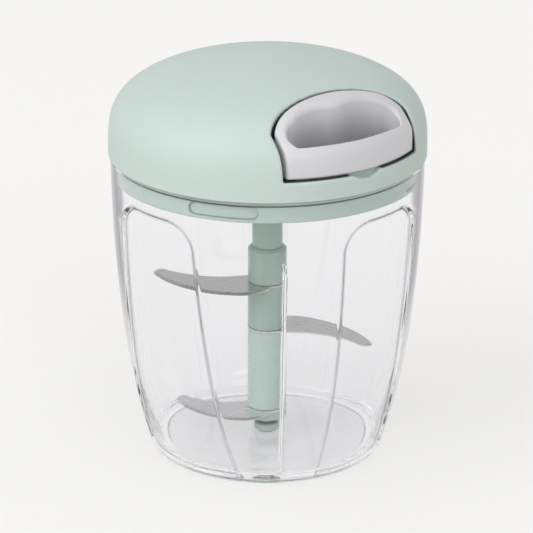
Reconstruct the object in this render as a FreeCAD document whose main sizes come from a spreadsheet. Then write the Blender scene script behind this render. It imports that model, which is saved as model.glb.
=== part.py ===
import FreeCAD, Part
import math
import os
import re
import Sketcher

# Pull-string food chopper, in millimetres. The origin is the middle of the bowl's underside,
# +Z points up and the handle pulls out along -Y. Angles of placement are counted about +Z.

SIZES = {
    # Bowl: a clear tub with two pairs of flattened panels outside and four upright ribs inside
    "bowl_height": 129.1,
    "bowl_rim_radius": 64.3,
    "bowl_middle_height": 50,
    "middle_inset": 5,
    "base_inset": 15.6,
    "base_ring_height": 2.6,
    "upper_bulge": 1.15,
    "lower_bulge": 1.15,
    "bowl_wall": 1.9,
    "floor_height": 4,
    "floor_corner": 3.5,
    "foot_rounding": 2,
    "foot_ring_width": 4,
    "foot_recess": 0.6,
    "rim_rounding": 0.6,
    "panel_turn": 12.5,
    "panel_step": 95,
    "panel_half_width": 21,
    "panel_foot_narrow": 19.5,
    "panel_foot_wide": 27,
    "panel_drop": 13.9,
    "panel_corner": 12,
    "panel_depth": 0.9,
    "rib_count": 4,
    "rib_turn": -29.3,
    "rib_width": 1.4,
    "rib_depth": 2.4,
    "rib_drop": 27.1,
    # Lid cover: a domed shell with the handle's pocket in its side
    "rim_gap": 0.3,
    "lid_overhang": 0.8,
    "lip_drop": 1.4,
    "lip_gap": 0.2,
    "lid_draft": 0.35,
    "lid_side": 10.3,
    "dome_rise": 38.75,
    "shoulder_inset": 5.6,
    "shoulder_drop": 15.95,
    "crown_inset": 20.1,
    "crown_drop": 7.37,
    "lid_wall": 2.2,
    "pocket_half_width": 34,
    "pocket_reach": 13.7,
    "pocket_setback": 14.1,
    "mouth_inset": 1.2,
    "pocket_floor_rise": 6.8,
    "pocket_wall": 2,
    "pocket_base": 3,
    "thumb_width": 14,
    "thumb_depth": 2.3,
    "thumb_inset": 5,
    "thumb_shift": 2.3,
    # Lid base: skirt plugged into the bowl, floor of the mechanism and bearing seat
    "lid_fit": 0.2,
    "skirt_depth": 10.4,
    "skirt_wall": 2.2,
    "base_plate": 2.5,
    "base_flange": 2,
    "base_flange_fit": 0.1,
    "bearing_length": 7.9,
    "bearing_wall": 3,
    "slot_count": 4,
    "slot_turn": -52,
    "slot_rise": 4,
    "slot_length": 28,
    "slot_height": 5,
    "slot_depth": 1.1,
    # Screws that hold the lid base to the cover
    "boss_setback": 16.2,
    "boss_radius": 4,
    "screw_radius": 1.5,
    "screw_head_radius": 3,
    "screw_head_height": 2,
    "screw_length": 14,
    "screw_fit": 0.1,
    # Handle: a finger ring that fills the pocket
    "handle_gap": 0.8,
    "handle_side_gap": 1.6,
    "handle_foot_gap": 0.9,
    "handle_skin_gap": 0.2,
    "handle_back": 6.5,
    "handle_front": 4.5,
    "face_setback": 1.6,
    "crease_rise": 10.2,
    "crease_reach": 1.1,
    "bevel_rise": 0.9,
    "hole_half_width": 26.2,
    "hole_end_reach": 6.9,
    "hole_corner_inset": 1.3,
    "hole_corner_reach": 3.7,
    "ridge_reach": 1.8,
    "ridge_half_width": 2.4,
    # Cord and its guide
    "cord_radius": 1,
    "cord_rise": 7.8,
    "cord_bend": 3,
    "bend_setback": 2.5,
    "cord_tail": 9,
    "knot_radius": 2.4,
    "knot_gap": 0.1,
    "knot_wall": 1.7,
    "cord_hole_fit": 0.2,
    "guide_bore": 1.7,
    "guide_radius": 3.2,
    "guide_flange_radius": 4.6,
    "guide_flange": 1,
    # Reel, its cover and the recoil spring
    "drum_radius": 16,
    "drum_wall": 2,
    "drum_width": 7,
    "reel_flange_radius": 22,
    "reel_flange": 2,
    "reel_cover_thickness": 1.5,
    "reel_hub_radius": 6.5,
    "reel_hub_drop": 1.5,
    "post_radius": 4,
    "post_clearance": 0.05,
    "post_root_radius": 8.8,
    "post_root_gap": 1.8,
    "running_gap": 0.3,
    "spring_turns": 5,
    "spring_strip": 0.5,
    "spring_tail": 1.6,
    "washer_radius": 6,
    "washer_thickness": 0.8,
    "axle_screw_radius": 1.5,
    "axle_head_radius": 3.2,
    "axle_head_height": 1.8,
    "axle_screw_length": 12,
    # One-way clutch: two pawls under the reel inside a toothed cup
    "tooth_count": 12,
    "tooth_root": 20.5,
    "tooth_tip": 18,
    "tooth_slant": 6.3,
    "cup_wall": 2.5,
    "cup_floor": 2.5,
    "cup_depth": 7.5,
    "pawl_circle": 15.3,
    "pawl_lag": 45,
    "pawl_boss": 2.4,
    "pawl_thickness": 4,
    "pawl_nose_gap": 0.3,
    "pawl_nose": 2.6,
    "pin_radius": 1.2,
    "pin_clearance": 0.05,
    "pin_head_radius": 2.2,
    "pin_head": 0.7,
    "pawl_spring_thickness": 0.4,
    "pawl_spring_height": 3,
    # Drive hub, its bush and the hexagon that turns the blades
    "drive_hub_radius": 9,
    "drive_hub_length": 18,
    "bush_wall": 1.6,
    "bush_flange_radius": 13,
    "bush_flange": 0.8,
    "bush_clearance": 0.05,
    "hexagon_flats": 8,
    "hexagon_fit": 0.1,
    "socket_depth": 12,
    "tip_length": 11,
    # Blade shaft, from the foot up
    "foot_gap": 0.3,
    "foot_radius": 5.3,
    "foot_length": 4.7,
    "foot_groove": 0.8,
    "lower_blade_height": 15.3,
    "middle_blade_height": 51.1,
    "upper_blade_height": 71.1,
    "sleeve_radius": 8,
    "sleeve_chamfer": 1.1,
    "neck_radius": 6.3,
    "neck_length": 21,
    "neck_gap": 2.2,
    "core_overlap": 9,
    "blade_thickness": 1,
    "stack_gap": 0.02,
    "blade_hub_radius": 8.2,
    "upper_blade_reach": 48.6,
    "middle_blade_reach": 47.8,
    "lower_blade_reach": 39,
    "upper_blade_belly": 18.4,
    "middle_blade_belly": 16,
    "lower_blade_belly": 18.6,
    "upper_blade_turn": 133.7,
    "middle_blade_turn": -60.4,
    "lower_blade_turn": 136.1,
    "pivot_radius": 2,
    "pivot_height": 16,
    "pivot_rounding": 1.2,
    "pivot_root": 2.2,
    "pivot_head_radius": 3.6,
    "pivot_head": 0.9,
    "foot_bush_wall": 0.9,
    "foot_bush_length": 10,
    "foot_bush_clearance": 0.05,
}

# Heights and radii that follow from the sizes above
DERIVED = {
    "lid_edge": "bowl_height + rim_gap",
    "lid_radius": "bowl_rim_radius + lid_overhang",
    "bowl_middle_radius": "bowl_rim_radius - middle_inset",
    "bowl_base_radius": "bowl_rim_radius - base_inset",
    "panel_top": "bowl_height - panel_drop",
    "rib_top": "bowl_height - rib_drop",
    "dome_top": "lid_edge + dome_rise",
    "skirt_radius": "bowl_rim_radius - bowl_wall - lid_fit",
    "boss_circle": "skirt_radius - boss_setback",
    "skirt_bottom": "lid_edge - skirt_depth",
    "plate_top": "skirt_bottom + base_plate",
    "bearing_top": "skirt_bottom + bearing_length",
    "pad_top": "plate_top + screw_head_height + 1",
    "pocket_floor": "lid_edge + pocket_floor_rise",
    "handle_bottom": "pocket_floor + handle_foot_gap",
    "cord_height": "pocket_floor + cord_rise",
    "drum_bottom": "cord_height - drum_width / 2",
    "drum_top": "cord_height + drum_width / 2",
    "reel_bottom": "drum_bottom - reel_flange",
    "hub_bottom": "reel_bottom - reel_hub_drop",
    "post_bottom": "hub_bottom - running_gap",
    "washer_bottom": "post_bottom - washer_thickness",
    "cord_line": "drum_radius + cord_radius",
    "cup_top": "reel_bottom - running_gap",
    "cup_inside": "cup_top - cup_depth",
    "cup_bottom": "cup_inside - cup_floor",
    "bush_top": "bearing_top + bush_flange",
    "bush_radius": "drive_hub_radius + bush_clearance + bush_wall",
    "drive_bottom": "cup_bottom - drive_hub_length",
    "tip_top": "drive_bottom + tip_length",
    "neck_top": "drive_bottom - neck_gap",
    "shoulder_height": "neck_top - neck_length",
    "pawl_top": "reel_bottom - running_gap",
    "pawl_bottom": "pawl_top - pawl_thickness",
    "shaft_bottom": "floor_height + foot_gap",
    "foot_top": "shaft_bottom + foot_length",
    "foot_sleeve_bottom": "foot_top + foot_groove",
    "half_blade": "blade_thickness / 2",
    "pocket_centre": "lid_radius - pocket_setback",
    "pocket_inner": "pocket_centre - pocket_reach",
    "eye_wall": "pocket_inner - pocket_wall",
    "bend_reach": "eye_wall - bend_setback",
    "hole_inner": "pocket_inner + handle_gap + handle_back",
    "hole_outer": "lid_radius - handle_front",
    "hole_ridge": "hole_inner + ridge_reach",
    "hole_end": "hole_inner + hole_end_reach",
    "knot_seat": "pocket_inner + handle_gap + knot_wall",
    "knot_centre": "knot_seat + knot_gap + knot_radius",
}

ALIAS = re.compile(r"[a-z][a-z_]+")
Z_AXIS = FreeCAD.Vector(0, 0, 1)

doc = FreeCAD.newDocument("chopper")
sheet = doc.addObject("Spreadsheet::Sheet", "dims")
nodes = {}


def fill_sheet():
    for row, (alias, size) in enumerate(SIZES.items(), start=1):
        sheet.set(f"A{row}", alias.replace("_", " "))
        sheet.set(f"B{row}", str(size))
        sheet.setAlias(f"B{row}", alias)
    doc.recompute()


def full(text):
    """Writes a size expression out in terms of the sheet's cells."""

    def swap(match):
        word = match.group(0)
        if word in DERIVED:
            return "(" + full(DERIVED[word]) + ")"
        return "dims." + word if word in SIZES else word

    return ALIAS.sub(swap, str(text))


def value(text):
    return float(sheet.evalExpression(full(text)))


def bind(thing, prop, text):
    thing.setExpression(prop, full(text))


def place(thing, x="0", y="0", z="0", turn=None, axis=Z_AXIS):
    """Binds a thing's place and its turn about an axis."""
    if turn is not None:
        thing.Placement.Rotation = FreeCAD.Rotation(axis, value(turn))
        bind(thing, "Placement.Rotation.Angle", turn)
    for name, text in (("x", x), ("y", y), ("z", z)):
        if text != "0":
            bind(thing, f"Placement.Base.{name}", text)
    return thing


def keep(name, thing):
    thing.Label = name
    nodes[name] = thing
    return thing


# Sketches and the features made from them

def arc_through(start, middle, end):
    """The arc from start to end through a middle point, and whether it runs backwards."""
    curve = Part.Arc(start, middle, end).toShape().Curve
    flat = Part.Circle(curve.Center, Z_AXIS, curve.Radius)
    first = math.atan2(start.y - curve.Center.y, start.x - curve.Center.x)
    last = math.atan2(end.y - curve.Center.y, end.x - curve.Center.x)
    side = (middle - start).cross(end - middle).z
    if side < 0:
        first, last = last, first
    if last <= first:
        last += 2 * math.pi
    return Part.ArcOfCircle(flat, first, last), side < 0


def pin_point(sketch, index, end, place_text):
    """Ties one point of a sketch to its two size expressions, or to the sketch's own axes."""
    # A sketch's level axis and its origin are geometry -1, and its upright axis is geometry -2
    along = (-2, "DistanceX", place_text[0])
    up = (-1, "DistanceY", place_text[1])
    for axis, kind, text in (along, up):
        if text == "0":
            sketch.addConstraint(Sketcher.Constraint("PointOnObject", index, end, axis))
        else:
            number = sketch.addConstraint(Sketcher.Constraint(kind, -1, 1, index, end, value(text)))
            bind(sketch, f"Constraints[{number}]", text)


def draw(sketch, outline):
    """Draws a closed outline: each step is a point, or a middle point and a point for an arc."""
    corners = [step[-2:] for step in outline]
    spots = [FreeCAD.Vector(value(a), value(b), 0) for a, b in corners]
    ends = []
    for number, step in enumerate(outline):
        start, finish = spots[number - 1], spots[number]
        if len(step) == 2:
            index = sketch.addGeometry(Part.LineSegment(start, finish))
            ends.append((index, 1, 2))
            continue
        middle = FreeCAD.Vector(value(step[0]), value(step[1]), 0)
        arc, backwards = arc_through(start, middle, finish)
        index = sketch.addGeometry(arc)
        ends.append((index, 2, 1) if backwards else (index, 1, 2))
        point = sketch.addGeometry(Part.Point(middle), True)
        pin_point(sketch, point, 1, step[:2])
        sketch.addConstraint(Sketcher.Constraint("PointOnObject", point, 1, index))
    for number, corner in enumerate(corners):
        index, _, finish = ends[number]
        after, start, _ = ends[(number + 1) % len(ends)]
        sketch.addConstraint(Sketcher.Constraint("Coincident", index, finish, after, start))
        pin_point(sketch, index, finish, corner)


def sketch_on(body, role, name, lift="0"):
    plane = next(feature for feature in body.Origin.OriginFeatures if feature.Role == role)
    sketch = body.newObject("Sketcher::SketchObject", name)
    sketch.AttachmentSupport = [(plane, "")]
    sketch.MapMode = "FlatFace"
    if lift != "0":
        bind(sketch, "AttachmentOffset.Base.z", lift)
    return sketch


def new_body(name):
    body = doc.addObject("PartDesign::Body", name)
    body.AllowCompound = True
    return body


def revolve(name, outline):
    """A body turned about +Z from an outline of radius and height."""
    body = new_body(name)
    sketch = sketch_on(body, "XZ_Plane", name + "_profile")
    draw(sketch, outline)
    turned = body.newObject("PartDesign::Revolution", name + "_turned")
    turned.Profile = sketch
    turned.ReferenceAxis = (sketch, ["V_Axis"])
    turned.Angle = 360
    sketch.Visibility = False
    return body


def pad(name, outline, bottom, length, role="XY_Plane"):
    """A body of constant section: bottom is its height for a plan outline."""
    body = new_body(name)
    add_pad(body, name, outline, bottom, length, role)
    return body


def add_pad(body, name, outline, bottom, length, role="XY_Plane"):
    sketch = sketch_on(body, role, name + "_outline", bottom)
    draw(sketch, outline)
    block = body.newObject("PartDesign::Pad", name + "_pad")
    block.Profile = sketch
    bind(block, "Length", length)
    return sketch, block


def pocket(body, name, outline, bottom, length):
    """Cuts a plan outline out of a body, upwards from a height."""
    sketch = sketch_on(body, "XY_Plane", name + "_outline", bottom)
    draw(sketch, outline)
    before = body_volume(body)
    cut = body.newObject("PartDesign::Pocket", name + "_pocket")
    cut.Profile = sketch
    cut.Reversed = True
    bind(cut, "Length", length)
    doc.recompute()
    if not body_volume(body) < before:
        raise ValueError(name + " cuts nothing")
    return sketch, cut


def body_volume(body):
    doc.recompute()
    return body.Shape.Volume


def star(name, outline, reach, count, turn):
    """Equal spokes about +Z, each an upright outline padded outwards from the axis."""
    body = new_body(name)
    sketch, block = add_pad(body, name, outline, "0", reach, "XZ_Plane")
    doc.recompute()
    pattern = body.newObject("PartDesign::PolarPattern", name + "_pattern")
    pattern.Originals = [block]
    pattern.Axis = (next(f for f in body.Origin.OriginFeatures if f.Role == "Z_Axis"), [""])
    pattern.Angle = 360
    bind(pattern, "Occurrences", count)
    body.Tip = pattern
    return place(body, turn=turn)


# Plain solids and booleans

def cylinder(name, radius, low, high, x="0", y="0"):
    rod = doc.addObject("Part::Cylinder", name)
    bind(rod, "Radius", radius)
    bind(rod, "Height", f"({high}) - ({low})")
    return place(rod, x, y, low)


def cross_cylinder(name, radius, near, far, height):
    """A cylinder along -Y at a height, from one distance out of the axis to another."""
    rod = doc.addObject("Part::Cylinder", name)
    bind(rod, "Radius", radius)
    bind(rod, "Height", f"({far}) - ({near})")
    rod.Placement.Rotation = FreeCAD.Rotation(FreeCAD.Vector(1, 0, 0), 90)
    bind(rod, "Placement.Base.y", f"0 - ({near})")
    bind(rod, "Placement.Base.z", height)
    return rod


def block(name, low, high):
    """A box between two corners given as expressions."""
    solid = doc.addObject("Part::Box", name)
    for prop, near, far in zip(("Length", "Width", "Height"), low, high):
        bind(solid, prop, f"({far}) - ({near})")
    return place(solid, *low)


def cut(name, base, *tools):
    for number, tool in enumerate(tools):
        result = doc.addObject("Part::Cut", f"{name}_cut_{number}")
        result.Base = base
        result.Tool = tool
        base = result
    return base


def fuse(name, *solids):
    result = doc.addObject("Part::MultiFuse", name + "_fused")
    result.Shapes = list(solids)
    result.Refine = True
    return result


def common(name, *solids):
    result = doc.addObject("Part::MultiCommon", name + "_common")
    result.Shapes = list(solids)
    return result


def group(name, solids):
    result = doc.addObject("Part::Compound", name + "_group")
    result.Links = list(solids)
    return result


def around(radius, turn):
    """The X and Y expressions of a point on a circle, its turn counted from +X."""
    return f"({radius}) * cos({turn})", f"({radius}) * sin({turn})"


def hexagon(flats, turn="0"):
    radius = f"({flats}) / sqrt(3)"
    return [around(radius, f"{60 * side} + ({turn})") for side in range(6)]


def ring(name, inner, outer, low, high):
    return revolve(name, [(inner, low), (outer, low), (outer, high), (inner, high)])


# Bowl

def bowl_outside(inset):
    """The bowl's outer wall drawn in by an inset: from the base ring up to the rim."""
    chord_low = "(bowl_base_radius + bowl_middle_radius) / 2 + lower_bulge"
    chord_high = "(bowl_middle_radius + bowl_rim_radius) / 2 + upper_bulge"
    middle_low = "(base_ring_height + bowl_middle_height) / 2"
    middle_high = "(bowl_middle_height + bowl_height) / 2"
    return [
        (f"bowl_base_radius - ({inset})", "base_ring_height"),
        (f"{chord_low} - ({inset})", middle_low,
         f"bowl_middle_radius - ({inset})", "bowl_middle_height"),
        (f"{chord_high} - ({inset})", middle_high,
         f"bowl_rim_radius - ({inset})", "bowl_height - rim_rounding"),
    ]


def wall_ring(name, outer_inset, inner_inset):
    """A ring of the bowl's own curve between two insets, from the base ring to the rim."""
    outside = bowl_outside(outer_inset)
    inside = bowl_outside(inner_inset)
    middle = inside[1]
    return revolve(name, [
        outside[0], outside[1], outside[2],
        inside[2][-2:],
        inside[2][:2] + middle[-2:],
        middle[:2] + inside[0],
    ])


def panel_arch(foot_half_width):
    """Outline of a panel: straight sides up from its foot and an arched top."""
    return [
        (f"0 - {foot_half_width}", "base_ring_height"),
        (foot_half_width, "base_ring_height"),
        ("panel_half_width", "panel_top - panel_corner"),
        ("panel_half_width - panel_corner * 0.293", "panel_top - panel_corner * 0.293",
         "panel_half_width - panel_corner", "panel_top"),
        ("panel_corner - panel_half_width", "panel_top"),
        ("panel_corner * 0.293 - panel_half_width", "panel_top - panel_corner * 0.293",
         "0 - panel_half_width", "panel_top - panel_corner"),
    ]


def make_bowl():
    outside = bowl_outside("0")
    inside = bowl_outside("bowl_wall")
    foot_inner = "bowl_base_radius - foot_rounding - foot_ring_width"
    corner_radius = "bowl_base_radius - bowl_wall + 0.9"
    corner_height = "floor_height + floor_corner"
    shell = revolve("bowl_shell", [
        ("0", "foot_recess"),
        (foot_inner, "foot_recess"),
        (foot_inner, "0"),
        ("bowl_base_radius - foot_rounding - 0.6", "0"),
        ("bowl_base_radius - 0.6 - foot_rounding * 0.293", "foot_rounding * 0.293",
         "bowl_base_radius - 0.6", "foot_rounding"),
        outside[0],
        outside[1],
        outside[2],
        ("bowl_rim_radius - rim_rounding * 0.293", "bowl_height - rim_rounding * 0.293",
         "bowl_rim_radius - rim_rounding", "bowl_height"),
        ("bowl_rim_radius - bowl_wall", "bowl_height"),
        inside[2][:2] + inside[1][-2:],
        (f"({inside[1][0]}) + 0.15", inside[1][1], corner_radius, corner_height),
        (f"{corner_radius} - floor_corner * 0.293", "floor_height + floor_corner * 0.293",
         f"{corner_radius} - floor_corner", "floor_height"),
        ("0", "floor_height"),
    ])
    front_pair = star("front_arches", panel_arch("panel_foot_narrow"), "bowl_rim_radius + 5",
                      "2", "panel_turn")
    side_pair = star("side_arches", panel_arch("panel_foot_wide"), "bowl_rim_radius + 5",
                     "2", "panel_turn - panel_step")
    panels = common("panels",
                    wall_ring("panel_skin", "0 - 2", "panel_depth"),
                    fuse("panel_arches", front_pair, side_pair))
    spoke = [
        ("0 - rib_width / 2", "base_ring_height"),
        ("rib_width / 2", "base_ring_height"),
        ("rib_width / 2", "rib_top - rib_width / 2"),
        ("0", "rib_top", "0 - rib_width / 2", "rib_top - rib_width / 2"),
    ]
    ribs = common("ribs",
                  wall_ring("rib_skin", "bowl_wall - 0.3", "bowl_wall + rib_depth"),
                  star("rib_spokes", spoke, "bowl_rim_radius", "rib_count", "rib_turn"))
    hollow = cylinder("pivot_seat", "pivot_radius", "floor_height - pivot_root", "floor_height")
    head = cylinder("pivot_head_seat", "pivot_head_radius",
                    "floor_height - pivot_root", "floor_height - pivot_root + pivot_head")
    body = fuse("bowl_ribbed", cut("bowl_panelled", shell, panels), ribs)
    keep("bowl", cut("bowl_finished", body, fuse("pivot_cavity", hollow, head)))


def make_pivot_pin():
    bottom = "floor_height - pivot_root"
    tip_flat = "pivot_radius - pivot_rounding"
    shank_top = "pivot_height - pivot_rounding"
    keep("pivot_pin", revolve("pivot_pin_body", [
        ("0", bottom),
        ("pivot_head_radius", bottom),
        ("pivot_head_radius", f"{bottom} + pivot_head"),
        ("pivot_radius", f"{bottom} + pivot_head"),
        ("pivot_radius", shank_top),
        ("pivot_radius - pivot_rounding * 0.293", f"{shank_top} + pivot_rounding * 0.707",
         tip_flat, "pivot_height"),
        ("0", "pivot_height"),
    ]))


# Lid cover and lid base

def dome(name, inset, bottom):
    """The dome's solid form drawn in by an inset, down to a height."""
    return revolve(name, [
        ("0", bottom),
        (f"lid_radius - ({inset})", bottom),
        (f"lid_radius - lid_draft - ({inset})", "lid_edge + lid_side"),
        (f"lid_radius - shoulder_inset * 0.34 - 0.9 * ({inset})",
         f"lid_edge + lid_side + (dome_rise - shoulder_drop - lid_side) * 0.55 - 0.4 * ({inset})",
         f"lid_radius - shoulder_inset - 0.75 * ({inset})",
         f"dome_top - shoulder_drop - 0.65 * ({inset})"),
        (f"lid_radius - shoulder_inset - (crown_inset - shoulder_inset) * 0.45 - 0.5 * ({inset})",
         f"dome_top - crown_drop - (shoulder_drop - crown_drop) * 0.43 - 0.85 * ({inset})",
         f"lid_radius - crown_inset - 0.35 * ({inset})",
         f"dome_top - crown_drop - 0.93 * ({inset})"),
        (f"(lid_radius - crown_inset) * 0.51 - 0.15 * ({inset})",
         f"dome_top - crown_drop * 0.277 - 0.98 * ({inset})",
         "0", f"dome_top - ({inset})"),
    ])


def pocket_outline(grow, side_grow, front):
    """Plan of the handle's pocket: an ellipse towards the axis, cut off by two straight sides."""
    half_width = f"(pocket_half_width + ({grow}))"
    reach = f"(pocket_reach + ({grow}))"
    side = f"(pocket_half_width - mouth_inset + ({side_grow}))"

    def spot(fifths):
        turn = f"asin({side} / {half_width}) * {fifths} / 5"
        return f"{half_width} * sin({turn})", f"{reach} * cos({turn}) - pocket_centre"

    steps = [(side, f"0 - ({front})"), spot(5)]
    for fifths in (3, 1, -1, -3, -5):
        steps.append(spot(fifths + 1) + spot(fifths))
    steps.append((f"0 - {side}", f"0 - ({front})"))
    return steps


def boss_places():
    return [around("boss_circle", turn) for turn in (-30, 90, 210)]


def make_lid_cover():
    outside = dome("lid_outside", "0", "lid_edge - lip_drop")
    rim_room = cylinder("rim_room", "bowl_rim_radius + lip_gap", "lid_edge - lip_drop - 1", "lid_edge")
    shell = cut("lid_shell", outside, dome("lid_inside", "lid_wall", "lid_edge - 1"), rim_room)
    tray_outline = pocket_outline("pocket_wall", "pocket_wall", "lid_radius + 5")
    tray = common("tray",
                  pad("tray_block", tray_outline, "pocket_floor - pocket_base", "dome_rise"),
                  dome("tray_limit", "lid_wall / 2", "lid_edge"))
    room = pad("pocket_room", pocket_outline("0", "0", "lid_radius + 5"), "pocket_floor", "dome_rise")
    thumb_radius = "((thumb_width ^ 2 / 4 + thumb_depth ^ 2) / (2 * thumb_depth))"
    thumb = cross_cylinder("thumb_notch", thumb_radius, "lid_radius - thumb_inset", "lid_radius + 5",
                           f"pocket_floor - thumb_depth + {thumb_radius}")
    bind(thumb, "Placement.Base.x", "thumb_shift")
    ceiling = "dome_top - lid_wall / 2"
    post = cylinder("post_rod", "post_radius", "post_bottom", ceiling)
    root_bottom = "drum_top + reel_cover_thickness + post_root_gap"
    root = cylinder("post_root", "post_root_radius", root_bottom, ceiling)
    slot = block("spring_slot",
                 ("0", "0 - spring_strip / 2 - 0.05", "drum_bottom"),
                 ("post_radius + 1", "spring_strip / 2 + 0.05", "drum_top + 0.2"))
    screw_hole = cylinder("axle_screw_hole", "axle_screw_radius",
                          "post_bottom - 1", "post_bottom + axle_screw_length")
    bosses = []
    holes = []
    for number, (x, y) in enumerate(boss_places()):
        rod = cylinder(f"cover_boss_{number}", "boss_radius", "pad_top", "dome_top", x, y)
        limit = dome(f"boss_limit_{number}", "lid_wall / 2", "skirt_bottom")
        bosses.append(common(f"cover_boss_{number}", rod, limit))
        holes.append(cylinder(f"screw_hole_{number}", "screw_radius", "skirt_bottom",
                              "skirt_bottom + screw_length + 1", x, y))
    eye = cross_cylinder("eye_hole", "guide_radius", "eye_wall - 1", "pocket_inner + 1", "cord_height")
    whole = fuse("lid_cover", shell, tray, post, root, *bosses)
    keep("lid_cover", cut("lid_cover", whole, room, thumb, eye, slot, screw_hole, *holes))


def make_lid_base():
    seat = "lid_radius - lid_wall - base_flange_fit"
    flange_top = "lid_edge + base_flange"
    inner = "bush_radius"
    profile = [
        (inner, "skirt_bottom"),
        ("skirt_radius", "skirt_bottom"),
        ("skirt_radius", "lid_edge"),
        (seat, "lid_edge"),
        (seat, flange_top),
        ("skirt_radius - skirt_wall", flange_top),
        ("skirt_radius - skirt_wall", "plate_top"),
        (f"{inner} + bearing_wall", "plate_top"),
        (f"{inner} + bearing_wall", "bearing_top"),
        (inner, "bearing_top"),
    ]
    base = revolve("base_shell", profile)
    pads = []
    holes = []
    for number, (x, y) in enumerate(boss_places()):
        pads.append(cylinder(f"screw_pad_{number}", "screw_head_radius + 1.5",
                             "skirt_bottom", "pad_top", x, y))
        holes.append(cylinder(f"head_recess_{number}", "screw_head_radius + screw_fit",
                              "skirt_bottom - 1", "skirt_bottom + screw_head_height + 0.3", x, y))
        holes.append(cylinder(f"screw_way_{number}", "screw_radius + screw_fit",
                              "skirt_bottom - 1", "plate_top + screw_head_height + 2", x, y))
    outline = [
        ("slot_length / 2 - slot_height / 2", "0 - slot_height / 2"),
        ("slot_length / 2", "0", "slot_length / 2 - slot_height / 2", "slot_height / 2"),
        ("slot_height / 2 - slot_length / 2", "slot_height / 2"),
        ("0 - slot_length / 2", "0", "slot_height / 2 - slot_length / 2", "0 - slot_height / 2"),
    ]
    spokes = star("lock_slots", outline, "skirt_radius + 5", "slot_count", "slot_turn")
    bind(spokes, "Placement.Base.z", "skirt_bottom + slot_rise")
    skin = ring("slot_skin", "skirt_radius - slot_depth", "skirt_radius + 2", "skirt_bottom - 1", "lid_edge")
    whole = fuse("lid_base", base, *pads)
    keep("lid_base", cut("lid_base", whole, common("slots", skin, spokes), *holes))


def make_cover_screws():
    screws = []
    for number, (x, y) in enumerate(boss_places()):
        head_bottom = "skirt_bottom + 0.3"
        head_top = "skirt_bottom + screw_head_height + 0.3"
        head = cylinder(f"cover_screw_head_{number}", "screw_head_radius", head_bottom, head_top, x, y)
        shank = cylinder(f"cover_screw_shank_{number}", "screw_radius", head_bottom,
                         "skirt_bottom + screw_length", x, y)
        drive = cylinder(f"cover_screw_drive_{number}", "screw_radius * 0.7", head_bottom,
                         f"{head_bottom} + screw_head_height / 2", x, y)
        screws.append(cut(f"cover_screw_{number}", fuse(f"cover_screw_{number}", head, shank), drive))
    keep("cover_screws", group("cover_screws", screws))


# Handle and cord

def finger_hole_outline():
    """Plan of the finger hole: two lobes towards the axis, parted by a ridge before the knot."""
    right = [
        ("ridge_half_width", "0 - hole_ridge"),
        ("hole_half_width * 0.44", "0 - hole_inner", "hole_half_width * 0.8", "0 - hole_inner - 2.2"),
        ("hole_half_width * 0.956", "0 - hole_inner - 4", "hole_half_width", "0 - hole_end"),
        ("hole_half_width - hole_corner_inset", "0 - hole_end - hole_corner_reach"),
    ]
    left_x = [f"0 - ({step[-2]})" for step in right]
    left_y = [step[-1] for step in right]
    return right + [
        ("0", "0 - hole_outer", left_x[3], left_y[3]),
        (left_x[2], left_y[2]),
        (f"0 - {right[2][0]}", right[2][1], left_x[1], left_y[1]),
        (f"0 - {right[1][0]}", right[1][1], left_x[0], left_y[0]),
    ]


def handle_face():
    """The turned form that gives the handle its upright front and the bevel above its crease."""
    face = "(lid_radius - face_setback)"
    crease = "(handle_bottom + crease_rise)"
    run = "(lid_radius / 2)"
    return revolve("handle_face", [
        ("0", "lid_edge"),
        (face, "lid_edge"),
        (face, f"{crease} - crease_reach"),
        (f"{face} - crease_reach * 0.23", f"{crease} - crease_reach * 0.06",
         f"{face} - crease_reach", f"{crease} + crease_reach * bevel_rise"),
        (f"{face} - {run}", f"{crease} + {run} * bevel_rise"),
        ("0", f"{crease} + {run} * bevel_rise"),
    ])


def make_pull_handle():
    outline = pocket_outline("0 - handle_gap", "0 - handle_side_gap", "lid_radius + 5")
    prism = pad("handle_block", outline, "handle_bottom", "dome_rise")
    form = common("handle_form", prism, dome("handle_limit", "handle_skin_gap", "lid_edge"), handle_face())
    hole = pad("finger_hole", finger_hole_outline(), "lid_edge", "dome_rise")
    way = "(cord_radius + cord_hole_fit)"
    room = "(knot_radius + knot_gap)"
    cord_way = block("cord_way",
                     (f"0 - {way}", "0 - knot_seat - 0.5", "handle_bottom - 1"),
                     (way, "1 - pocket_inner - handle_gap", f"cord_height + {way}"))
    knot_room = block("knot_room",
                      (f"0 - {room}", f"0 - knot_seat - 2 * {room}", "handle_bottom - 1"),
                      (room, "0 - knot_seat", f"cord_height + {room}"))
    keep("pull_handle", cut("pull_handle", form, hole, cord_way, knot_room))


def make_cord_knot():
    ball = doc.addObject("Part::Sphere", "knot_ball")
    bind(ball, "Radius", "knot_radius")
    place(ball, y="0 - knot_centre", z="cord_height")
    way = cross_cylinder("knot_way", "cord_radius", "knot_seat - 1", "knot_centre", "cord_height")
    keep("cord_knot", cut("cord_knot", ball, way))


def make_cord_guide():
    collar = "eye_wall - guide_flange"
    body = fuse("cord_guide",
                cross_cylinder("guide_tube", "guide_radius", collar, "pocket_inner", "cord_height"),
                cross_cylinder("guide_flange_disc", "guide_flange_radius", collar, "eye_wall", "cord_height"))
    bore = cross_cylinder("guide_bore_tool", "guide_bore", f"{collar} - 1", "pocket_inner + 1", "cord_height")
    keep("cord_guide", cut("cord_guide", body, bore))


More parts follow.
